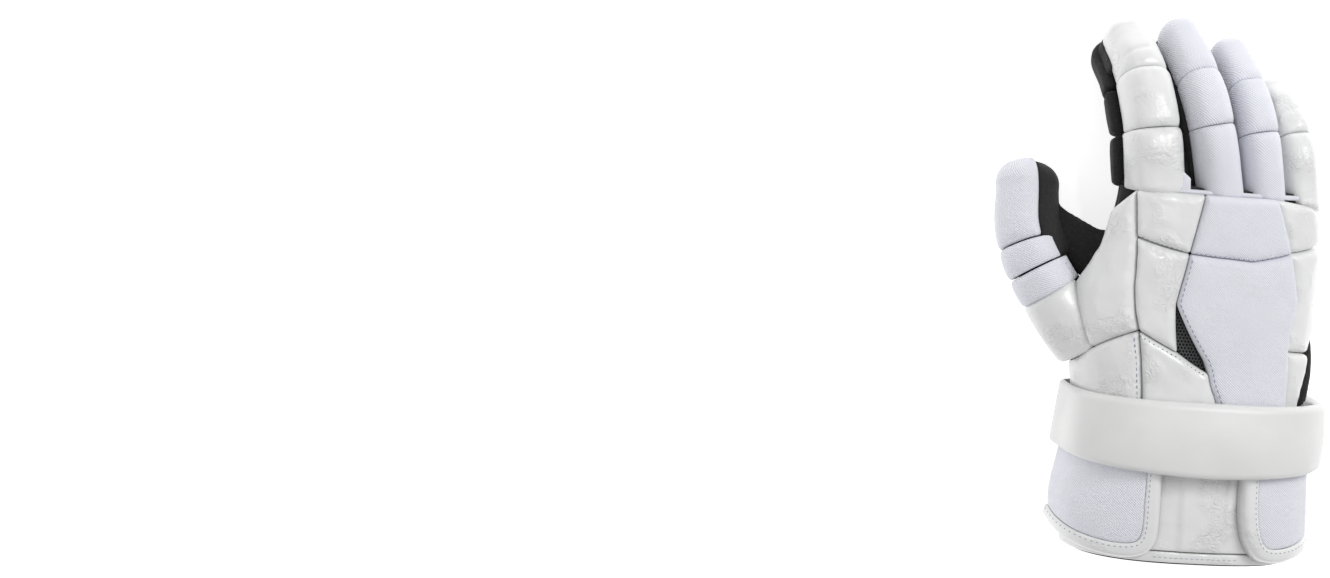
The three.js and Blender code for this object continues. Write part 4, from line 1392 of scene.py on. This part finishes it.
    def vent(self) -> None:
        """Builds the honeycomb vent: hexagons with their middles taken out, over a dark backing."""
        outline = anticlockwise(self.outline(("vent_top", "vent_plate", "vent_wrist", "vent_meta")))
        pitch = self.vent_pitch
        cell = pitch / math.sqrt(3)
        low, high = outline.min(0), outline.max(0)
        points: list[tuple[float, float]] = []
        faces: list[list[int]] = []
        for row, y in enumerate(np.arange(low[1], high[1] + pitch, pitch * 0.866)):
            for x in np.arange(low[0], high[0] + pitch, pitch) + (row % 2) * pitch / 2:
                if not inside(np.array([[x, y]]), outline)[0]:
                    continue
                start = len(points)
                for ring in (cell * 1.01, cell * self.vent_hole):
                    for k in range(6):
                        angle = math.radians(30 + 60 * k)
                        points.append((x + ring * math.cos(angle), y + ring * math.sin(angle)))
                for k in range(6):
                    m = (k + 1) % 6
                    faces.append([start + k, start + m, start + 6 + m, start + 6 + k])
        flat = np.array(points)
        places = HAND.wrap(flat[:, 0], flat[:, 1], np.full(len(flat), SEAT + self.vent_thickness))
        piece = mesh_piece("mesh_vent_net", places, faces)
        edit_all(piece, (bpy.ops.mesh.remove_doubles, {"threshold": 1.2e-4}))
        apply_modifier(piece, "thread", "SOLIDIFY", thickness=0.9 * MM, offset=-1)
        apply_modifier(piece, "round", "BEVEL", width=0.2 * MM, segments=2)
        settle(piece, Finish.VENT, "mesh_vent")
        Pad(
            "mesh_vent_backing", outline, HAND.wrap, 1.6, Finish.BLACK, edge=0.8, drop=0.6, crown=0.1,
            inset=0.2, stands_for=(), lumps=0, fill=None,
        ).build()


@dataclass
class FingerArmour:
    """The pads on the backs of the fingers, and the black ones beside the index finger."""

    thickness: float = 12
    side_thickness: float = 8
    half_turn: float = 0.95  # how far round the finger a pad reaches, in quarter turns
    # share of the thickness that goes sideways, where it isn't the finger's own
    spreads: dict[tuple[str, str], float] = field(default_factory=lambda: {
        ("index", "base"): 0.36, ("index", "middle"): 0.25,
    })
    start: float = 0.35  # where the first side pad starts along the spine
    # how far past the knuckle line each first pad starts, at its thumb side and at the other
    gaps: dict[str, tuple[float, float]] = field(default_factory=lambda: {
        "index": (-1.4, -1.4), "middle": (-1.8, -1.8), "ring": (-2, -2.4), "pinky": (-2.4, -9),
    })
    tip_share: float = 0.72  # how far over the tip the last pad reaches, as a share of the radius
    side_tip_share: float = 0.85
    side_gap: float = 0.6
    corners: dict[str, float] = field(default_factory=lambda: {"tip": 9, "middle": 3, "base": 1.4})
    side_turns: tuple[float, float] = (-1.72, -1.0)
    gusset_turns: tuple[float, float] = (-0.3, -0.17)
    gusset_seat: float = 2.0
    gusset_heights: tuple[float, float] = (19, 9)  # past the knuckle line, on its two sides
    trim_turns: tuple[float, float] = (-0.3, 0.5)
    trim_ends: tuple[float, float] = (-1, 2.6)
    # sides in quarter turns, start, end as a share of the length, thickness
    strips: dict[str, tuple[tuple[float, float, float, float, float], ...]] = field(default_factory=lambda: {
        "index": ((0.9, 1.7, 5.0, 1.13, 7.0), (-1.6, -0.75, 72.0, 1.17, 5.0)),
        "middle": ((-1.7, -0.9, 4.0, 1.13, 5.0), (0.9, 1.7, 3.0, 1.0, 3.6)),
        "ring": ((-1.7, -0.9, 3.0, 1.05, 2.5),),
    })
    leather: tuple[str, ...] = ("index", "pinky")

    def pad(self, form: FingerForm, part: str, low: float, high: float) -> None:
        """Builds one pad.

        Args:
            form: The finger.
            part: The pad's part of it: base, middle or tip.
            low: Where the pad starts along the spine; the base starts at the knuckle line instead.
            high: Where it ends.
        """
        turns = np.linspace(-self.half_turn, self.half_turn, 9)
        gaps = np.linspace(*self.gaps[form.name], len(turns))
        lows = [low] * len(turns)
        if part == "base":
            lows = [form.start(turn, self.thickness * 0.5, gap) for turn, gap in zip(turns, gaps)]
        corners = [*zip(turns, lows), (self.half_turn, high), (-self.half_turn, high)]
        outline = form.rule.lay_out(np.array(corners), 4)
        in_leather = form.name in self.leather
        x = outline[:, 0].max()
        pinches = (Pinch(-x + 6, lows[0] + 1, 60), Pinch(x - 6, lows[-1] + 1, 120)) if in_leather else ()
        if part == "tip" and in_leather:
            fold = Pinch(-12, low + 7, 7, 25, 0.9, 0.8)
            pinches += (fold, Pinch(-9, low + 8, 255, 8, 0.8), Pinch(9, low + 9, 100, 9, 0.7))
        wrap = form.wrap_with(self.spreads.get((form.name, part), form.spread))
        finish = Finish.LEATHER if in_leather else Finish.MESH
        Pad(
            f"{form.name}_{part}_pad", outline, wrap, self.thickness, finish, seat=FINGER_SEAT, edge=4, drop=3.8,
            crown=1.3, tuck=0.5, corner=self.corners[part], step=MESH_STEP, inset=0.12, pinches=pinches,
            lumps=1.0 if in_leather else 0.45,
        ).build()

    def side_pad(self, form: FingerForm, part: str, low: float, high: float) -> None:
        """Builds one of the black pads on a finger's thumb side.

        Args:
            form: The finger.
            part: The pad's part of it.
            low: Where the pad starts along the spine.
            high: Where it ends.
        """
        outline = form.rule.rectangle(self.side_turns, (low, high))
        Pad(
            f"{form.name}_side_{part}_pad", outline, form.wrap_with(1), self.side_thickness, Finish.BLACK,
            seat=FINGER_SEAT, edge=3, drop=3, crown=0.8, tuck=0.5, corner=2.5, step=MESH_STEP,
        ).build()

    def gusset(self) -> None:
        """Builds the small white patch between the first two fingers, with its stitches."""
        left, right = self.gusset_turns
        length = HAND.hand_length
        high, low = (length + height for height in self.gusset_heights)
        outline = HAND.rule.lay_out(np.array([(left, length), (right, length), (right, low), (left, high)]))
        patch = Pad(
            "index_gusset", outline, HAND.wrap, 2.2, Finish.MESH, seat=self.gusset_seat, edge=2, drop=1.6,
            crown=0.2, corner=1.6, step=1.0, stands_for=(), fill=0.3,
        )
        patch.build()
        x = float(outline[:, 0].mean())
        line = np.array([(x, length + 1.5), (x, length + 14.0)])
        top = patch.top_at(2)
        Stitches("index_gusset_stitches", line, patch.wrap, top, Finish.BLUE_THREAD, 2.6, 1.3, 0.55).build()

    def trim(self) -> None:
        """Builds the white edge that fills the joint between the knuckle pads and the first finger pads."""
        ends = [HAND.hand_length + end for end in self.trim_ends]
        outline = HAND.rule.rectangle(self.trim_turns, ends, 16)
        Pad(
            "knuckle_trim", outline, HAND.wrap, 4.2, Finish.MESH, seat=0.4, edge=2, drop=1.6, crown=0.2, corner=1,
            stands_for=(), fill=0.4,
        ).build()

    def side_strips(self) -> None:
        """Builds the padded black cloth at the fingers' sides."""
        for name, rows in self.strips.items():
            form = FINGERS[name][0]
            for k, (left, right, low, high, thickness) in enumerate(rows):
                outline = form.rule.rectangle((left, right), (low, form.length * high))
                cloth_pad(
                    f"{name}_side_cloth_{k}", outline, form.wrap_with(1), thickness, edge=3,
                    drop=thickness * 0.8, corner=3, step=1.6, lumps=0.8,
                )

    def build(self) -> None:
        """Builds every finger's pads."""
        self.gusset()
        self.trim()
        self.side_strips()
        for form, joints in FINGERS.values():
            stops = [self.start, *joints, form.length + form.radius * self.tip_share]
            parts = ("base", "middle", "tip") if len(joints) == 2 else ("base", "tip")
            for part, low, high in zip(parts, stops, stops[1:]):
                self.pad(form, part, low, high)
                if form.name == "index":
                    end = form.length + form.radius * self.side_tip_share if part == "tip" else high
                    self.side_pad(form, part, low + self.side_gap, end - self.side_gap)


@dataclass
class ThumbArmour:
    """The pads on the back of the thumb."""

    thickness: float = 10
    # start and end as shares of the thumb's length, sides in quarter turns
    pads: tuple[tuple[str, float, Optional[float], float, float], ...] = (
        ("thumb_root_pad", 0.17, 0.468, -0.95, 0.9),
        ("thumb_third_pad", 0.465, 0.585, -0.95, 1.0),
        ("thumb_second_pad", 0.59, 0.705, -0.95, 0.9),
        ("thumb_tip_pad", 0.71, None, -0.95, 0.6),
    )
    tip_share: float = 0.72  # how far over the tip the last pad reaches, as a share of the radius
    side_turns: tuple[float, float] = (0.5, 1.4)
    side_ends: tuple[float, float] = (0.6, 1.12)

    def trim(self) -> None:
        """Builds the black cloth beside the tip pad, and the stitches beside the third pad."""
        outline = THUMB.rule.rectangle(self.side_turns, [end * THUMB.length for end in self.side_ends])
        wrap = THUMB.wrap_with(1)
        cloth_pad("thumb_side_cloth", outline, wrap, 4, edge=3, drop=3, corner=4, step=1.6, lumps=0.7)
        x = float(THUMB.rule.flat(np.array(0.9)))
        line = np.array([(x, 0.485 * THUMB.length), (x - 0.5, 0.57 * THUMB.length)])
        top = FINGER_SEAT + self.thickness - 1.4
        Stitches("thumb_stitches", line, THUMB.wrap, top, Finish.BLUE_THREAD).build()

    def build(self) -> None:
        """Builds the pads from the root to the tip."""
        self.trim()
        for name, start, end, left, right in self.pads:
            tip = end is None
            high = THUMB.length + THUMB.radius * self.tip_share if tip else end * THUMB.length
            outline = THUMB.rule.rectangle((left, right), (start * THUMB.length, high))
            root = name == "thumb_root_pad"
            Pad(
                name, outline, THUMB.wrap, self.thickness, Finish.LEATHER if root else Finish.MESH,
                seat=FINGER_SEAT, edge=3.8, drop=3.6, crown=1.2, tuck=0.5,
                corner=9 if tip else 1.2 if root else 2.5, step=MESH_STEP, inset=0.05 if root else 0.12,
            ).build()


@dataclass
class InnerGlove:
    """The black inner glove: shells round the hand, sleeves round the fingers, and the web beside the thumb."""

    nodes: dict[str, bpy.types.Object]
    cloth: float = 2.0
    around: int = 48  # squares round a sleeve
    shell_squares: tuple[int, int] = (60, 50)
    sleeve_start: float = -6.0
    thumb_start: float = 0.04  # as a share of the thumb's length
    voxel: float = 0.8

    def thicken(self, piece: bpy.types.Object, node: str) -> None:
        """Gives the cloth that stands for a node its thickness, towards the inside."""
        apply_modifier(piece, "cloth", "SOLIDIFY", thickness=self.cloth * MM, offset=-1)
        settle(piece, Finish.BLACK, node)

    def sleeve(self, form: FingerForm, start: float) -> None:
        """Builds one finger's sleeve, closed at its tip and open into the hand.

        Args:
            form: The finger.
            start: Where the sleeve starts along the spine.
        """
        end = form.length + form.radius
        rows = round((end - start) / 2)

        def place(across: np.ndarray, along: np.ndarray) -> np.ndarray:
            """Returns points of the sleeve for shares across and along."""
            return form.point(4 * across - 2, mix(start, end, along), 0.0, 1)

        def pattern(across: np.ndarray, along: np.ndarray) -> np.ndarray:
            """Returns their flat pattern coordinates."""
            return form.rule.pattern(4 * across - 2, mix(start, end, along))

        name = f"{form.name}_sleeve"
        self.thicken(wrapped_grid(name, self.around, rows, place, pattern), name)

    def shell(self, name: str, first_turn: float) -> None:
        """Builds half of the shell round the hand.

        Args:
            name: The half's name.
            first_turn: Where it starts, in quarter turns.
        """
        length = HAND.hand_length

        def place(across: np.ndarray, along: np.ndarray) -> np.ndarray:
            """Returns points of the shell for shares across and along."""
            return HAND.point(first_turn + 2 * across, along * length, 0.0)

        def pattern(across: np.ndarray, along: np.ndarray) -> np.ndarray:
            """Returns their flat pattern coordinates."""
            return HAND.rule.pattern(2 * across - 1, along * length)

        self.thicken(wrapped_grid(name, *self.shell_squares, place, pattern), name)

    def build(self) -> None:
        """Builds the shells, the sleeves, the crotch wall and the web."""
        self.shell("back_liner", -1)
        self.shell("palm", 1)
        for form, _ in FINGERS.values():
            self.sleeve(form, self.sleeve_start)
        self.sleeve(THUMB, self.thumb_start * THUMB.length)
        for name in ("finger_crotch", "thumb_web"):
            settle(refined_copy(self.nodes[name], self.voxel), Finish.BLACK, name)


@dataclass
class Cuff:
    """The cuff: its liner, the panel on its back with a hem, and two flaps bound in leather."""

    wall: float = 3
    panel: float = 3.6
    panel_top: float = -8.3
    hem_width: float = 7
    flap: float = 6.5
    band: float = 9.6
    proud: float = 0.8
    ridge: tuple[float, float, float] = (-15, 11.5, 1.7)  # the panel's raised middle: its sides and its height
    panel_turns: tuple[float, float] = (-1.02, 0.98)
    liner_end: float = -0.4
    binding_step: float = 1.4
    hem_row: tuple[float, ...] = (-34.0, -10.0, 24.0)  # where the hem's row of stitches runs
    # quarter turns, share of the cuff's length, and whether a bound edge starts there
    flaps: dict[str, tuple[tuple[float, float, bool], ...]] = field(default_factory=lambda: {
        "radial_flap": (
            (-1.06, -0.085, False), (-0.19, -0.085, False), (-0.19, -0.4, True), (-0.17, -0.74, True),
            (-0.2, -0.9, True), (-0.31, -0.97, True), (-0.62, -0.96, True), (-0.98, -0.89, True),
            (-1.06, -0.85, False),
        ),
        "ulnar_flap": (
            (0.12, -0.085, False), (1.0, -0.085, False), (1.0, -0.76, True), (0.88, -0.88, True),
            (0.5, -0.955, True), (0.25, -0.965, True), (0.16, -0.88, True), (0.12, -0.7, True),
            (0.12, -0.4, False),
        ),
    })

    @property
    def flap_seat(self) -> float:
        """The flaps' underside over the liner."""
        return SEAT + self.panel + 1.5 * SEAT

    def liner(self) -> None:
        """Builds the liner, a tube that is flat where it rests."""
        length = HAND.cuff_length

        def place(across: np.ndarray, along: np.ndarray) -> np.ndarray:
            """Returns points of the tube for shares round and along it."""
            return HAND.point(4 * across - 2, mix(-length, self.liner_end, along), 0.0)

        def pattern(across: np.ndarray, along: np.ndarray) -> np.ndarray:
            """Returns their flat pattern coordinates."""
            return HAND.rule.pattern(4 * across - 2, along * length)

        piece = wrapped_grid("cuff_liner", 120, 40, place, pattern)
        apply_modifier(piece, "wall", "SOLIDIFY", thickness=self.wall * MM, offset=-1)
        apply_modifier(piece, "rim", "BEVEL", width=0.9 * MM, segments=3, angle_limit=math.radians(60))
        piece.data.shade_smooth()
        settle(piece, Finish.BLACK, "cuff_liner")

    def strip(self, name: str, low: float, high: float, edge: float) -> None:
        """Builds a flat layer right across the back of the cuff.

        Args:
            name: Its name.
            low: Where it starts, from the wrist line.
            high: Where it ends.
            edge: How far its rounded edge reaches in.
        """
        outline = HAND.rule.rectangle(self.panel_turns, (low, high), 24)
        Pad(
            name, outline, HAND.wrap, self.panel, Finish.LEATHER, edge=edge, drop=edge * 0.8, crown=0.1,
            tuck=0.2, corner=1.5, step=1.8, inset=0.2, lumps=0.25, fill=0.3,
            ridge=self.ridge if name == "cuff_back_panel" else None,
        ).build()

    def bound_edge(self, name: str) -> tuple[np.ndarray, np.ndarray, np.ndarray]:
        """Lays out a flap's edge.

        Args:
            name: The flap's name.

        Returns:
            The flap's outline inside its binding, and the outer and inner lines of the binding.
        """
        rows = self.flaps[name][::-1]
        count = len(rows)
        corners = np.array([(HAND.rule.flat(turn), along * HAND.cuff_length) for turn, along, _ in rows])
        bound = [rows[(i + 1) % count][2] for i in range(count)]
        first = next(i for i in range(count) if bound[i] and not bound[i - 1])
        chain = [(first + i) % count for i in range(sum(bound) + 1)]
        rest = [(chain[-1] + i) % count for i in range(1, count - len(chain) + 1)]
        outer = resample(soften(corners[chain], rounds=3), self.binding_step, closed=False)
        moved = outer + left_of(np.gradient(outer, axis=0)) * self.band
        apart = np.linalg.norm(moved[:, None] - outer[None], axis=2).min(axis=1)
        kept = np.flatnonzero(apart > self.band * 0.985)
        inner = np.column_stack([np.interp(np.arange(len(outer)), kept, moved[kept, k]) for k in (0, 1)])
        shape = resample(inner, 2.5, closed=False)
        return np.vstack([shape, corners[rest]]), outer, inner

    def binding(self, name: str, outer: np.ndarray, inner: np.ndarray) -> None:
        """Builds the leather binding along a flap's edge, rounded outside and high on its inner side.

        Args:
            name: The flap's name.
            outer: The binding's outer line in the flat pattern.
            inner: Its inner line.
        """
        margin = 0.1 / self.band
        over, under = np.linspace(margin, 1 - margin, 15), np.linspace(1 - margin, margin, 4)[1:-1]
        across = np.concatenate([over, under])
        share = 2 * (over - margin) / (1 - 2 * margin) - 1
        rounded = np.sqrt(np.maximum(1 - np.abs(share) ** 3.2, 0))
        bulge = np.where(share < 0, rounded, 1 - 0.17 * np.abs(share) ** 4)
        heights = np.concatenate([bulge, np.zeros(2)])
        rings = []
        for out, within in zip(outer, inner):
            flat = mix(out, within, across[:, None])
            rings.append(HAND.wrap(flat[:, 0], flat[:, 1], self.flap_seat + heights * (self.flap + self.proud)))
        ones = np.ones(len(across))
        pattern = [
            np.column_stack([ones * self.binding_step * k, across * self.band, ones * 4]) for k in range(len(rings))
        ]
        piece = swept(f"{name}_binding", np.array(rings), np.array(pattern), False)
        settle(piece, Finish.LEATHER, f"{name}_binding")

    def build(self) -> None:
        """Builds the cuff from the inside out."""
        self.liner()
        hem_top = -0.985 * HAND.cuff_length + self.hem_width
        self.strip("cuff_back_panel", hem_top + 0.2, self.panel_top, 1.4)
        self.strip("hem_band", hem_top - self.hem_width, hem_top, 1.8)
        hem = np.array([(x, hem_top - self.hem_width * 0.5) for x in self.hem_row])
        top = SEAT + self.panel - 0.02
        Stitches("hem_stitches", hem, HAND.wrap, top, Finish.WHITE_THREAD, 3.6, 2.3).build()
        for name in self.flaps:
            inner, outer, within = self.bound_edge(name)
            Pad(
                name, inner, HAND.wrap, self.flap, Finish.MESH, seat=self.flap_seat, edge=1.8, drop=1.1,
                crown=0.4, tuck=0.3, corner=2, step=1.4, inset=-0.2, fill=0.5,
            ).build()
            self.binding(name, outer, within)
            line = mix(outer, within, 0.76)
            top = self.flap_seat + self.flap + self.proud * 0.55
            Stitches(f"{name}_stitches", line, HAND.wrap, top, Finish.BLUE_THREAD, 3.2, 2.1).build()


@dataclass
class WristStrap:
    """The padded strap round the wrist."""

    width: float = 45
    thickness: float = 6.5
    palm_thickness: float = 3
    edge: float = 4.6
    crown: float = 1.3
    top: float = 1.5  # its edge towards the fingers, from the wrist line
    around: int = 160
    side_width: float = 0.86  # its width at the sides and on the palm side, as a share
    lip_turns: tuple[float, ...] = (0.66, 0.8, 1.15, 1.3)  # where the lip beside the ulnar pad rises and falls

    def section(self, width: float, thickness: float, lip: float) -> np.ndarray:
        """Draws the strap's cross-section: a foot with a lip, and a rounded, slightly domed top.

        Args:
            width: Its width.
            thickness: Its thickness.
            lip: How far the lip reaches down on the side towards the fingers.

        Returns:
            Places across the strap and heights over its foot.
        """
        edge = min(self.edge, thickness * 0.85)
        half = width / 2
        arc = np.linspace(0, math.pi / 2, 7)
        left = np.column_stack([-half + edge * (1 - np.cos(arc)), thickness - edge * (1 - np.sin(arc))])
        middle = np.linspace(-half + edge, half - edge, 12)[1:-1]
        share = thickness / self.thickness
        dome = np.column_stack([middle, thickness + self.crown * share * (1 - (middle / (half - edge)) ** 2)])
        right = left[::-1] * np.array([-1, 1])
        foot = np.array([(half - 0.5, -lip), (half - 8.5, -lip), (half - 8.7, 0), (0, 0), (-half + 0.3, 0)])
        return np.vstack([left, dome, right, foot])

    def build(self) -> None:
        """Builds the strap as one ring: over the flaps on the back, straight on the cuff on the palm side."""
        over_flaps = SEAT + BackArmour.thickness + SEAM
        rings, patterns = [], []
        for k, turn in enumerate(np.linspace(-2, 2, self.around, endpoint=False)):
            palm_side = float(smoothstep(np.array(abs(turn)), 1.1, 1.3))
            seat = mix(over_flaps, SEAT, palm_side)
            thickness = mix(self.thickness, self.palm_thickness, float(smoothstep(np.array(abs(turn)), 0.7, 1)))
            aside = min(1, abs(turn))
            width = self.width * mix(1, self.side_width, aside)
            middle = self.top - self.width * mix(0.5, 0.45, aside)
            rise, fall = self.lip_turns[:2], self.lip_turns[2:]
            lip = smoothstep(np.array(turn), *rise) * (1 - smoothstep(np.array(turn), *fall))
            section = self.section(width, thickness, float(lip) * (over_flaps - SEAT - 0.4))
            rings.append(HAND.point(turn, middle + section[:, 0], seat + section[:, 1]))
            patterns.append(np.column_stack([np.full(len(section), 2.4 * k), section]))
        piece = swept("wrist_strap", np.array(rings), np.array(patterns), True)
        settle(piece, Finish.STRAP, "wrist_strap", fill=0.8)


# The studio


@dataclass
class Studio:
    """Camera, lights and floor."""

    image: tuple[int, int] = (1330, 578)
    centre: tuple[float, float, float] = (0, 65, 55)  # the point of the glove that the camera was fitted at
    pixel: tuple[float, float] = (1160, 291)  # where it lies in the photograph
    scale: float = 0.6  # millimetres to a pixel there
    swing: float = 20  # degrees that the camera stands round towards the thumb
    lean: float = 10  # and towards the fingertips
    distance: float = 2000
    zoom: float = 0.983  # correction found by laying the render over the photograph
    sensor: float = 36
    world: float = 0.54
    # place in metres, size and power
    lights: dict[str, tuple[tuple[float, float, float], float, float]] = field(default_factory=lambda: {
        "key": ((0.75, 0.75, 1.1), 0.6, 9.5),
        "fill": ((-1.0, -0.2, 1.1), 1.0, 1.5),
        "sparkle": ((0.12, 0.5, 1.3), 0.1, 1.3),
    })

    def camera(self) -> None:
        """Places the camera so that the glove lies where the photograph has it, with no shift of the lens."""
        swing, lean = math.radians(self.swing), math.radians(self.lean)
        back = Vector((-math.sin(swing) * math.cos(lean), math.sin(lean), math.cos(swing) * math.cos(lean)))
        right = Vector((math.cos(swing), 0, math.sin(swing)))
        up = back.cross(right)
        aside = self.pixel[0] - self.image[0] / 2
        focal = self.distance / self.scale * self.zoom
        turn = math.atan(aside / focal)
        axis_back = (back * math.cos(turn) + right * math.sin(turn)).normalized()
        axis_right = (right * math.cos(turn) - back * math.sin(turn)).normalized()
        data = bpy.data.cameras.new("camera")
        data.sensor_width = self.sensor
        data.lens = focal * self.sensor / self.image[0]
        data.clip_end = 20
        camera = bpy.data.objects.new("camera", data)
        bpy.context.scene.collection.objects.link(camera)
        place = (Vector(self.centre) + Vector(PLACE.shift) + back * self.distance) * MM
        rotation = Matrix((axis_right, up, axis_back)).transposed().to_4x4()
        camera.matrix_world = Matrix.Translation(place) @ rotation
        bpy.context.scene.camera = camera

    def light(self, name: str, place: Sequence[float], size: float, power: float) -> None:
        """Adds a soft light aimed at the glove.

        Args:
            name: Its name.
            place: Where it stands, in metres.
            size: Its width.
            power: Its power.
        """
        data = bpy.data.lights.new(name, "AREA")
        data.shape, data.size, data.energy = "DISK", size, power
        lamp = bpy.data.objects.new(name, data)
        lamp.location = Vector(place)
        lamp.rotation_euler = (-Vector(place)).to_track_quat("-Z", "Y").to_euler()
        bpy.context.scene.collection.objects.link(lamp)

    def build(self) -> None:
        """Builds the studio."""
        self.camera()
        bpy.ops.object.select_all(action="DESELECT")
        bpy.ops.mesh.primitive_plane_add(size=12)
        floor = bpy.context.active_object
        floor.name = "floor"
        floor.data.materials.append(PaleFloor().build())
        world = bpy.data.worlds.new("studio")
        world.use_nodes = True
        background = world.node_tree.nodes["Background"]
        background.inputs["Color"].default_value = (1, 1, 1, 1)
        background.inputs["Strength"].default_value = self.world
        bpy.context.scene.world = world
        for name, settings in self.lights.items():
            self.light(name, *settings)
        bpy.context.scene.view_settings.view_transform = "Standard"


def main() -> None:
    """Builds the glove and the studio."""
    logging.basicConfig(level=logging.INFO, format="%(message)s")
    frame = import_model()
    PLACE.read()
    log.info("shift %s", PLACE.shift.round(3))
    for part in (InnerGlove(frame["nodes"]), BackArmour(), FingerArmour(), ThumbArmour(), Cuff(), WristStrap()):
        part.build()
    Studio().build()


if __name__ == "__main__":
    main()
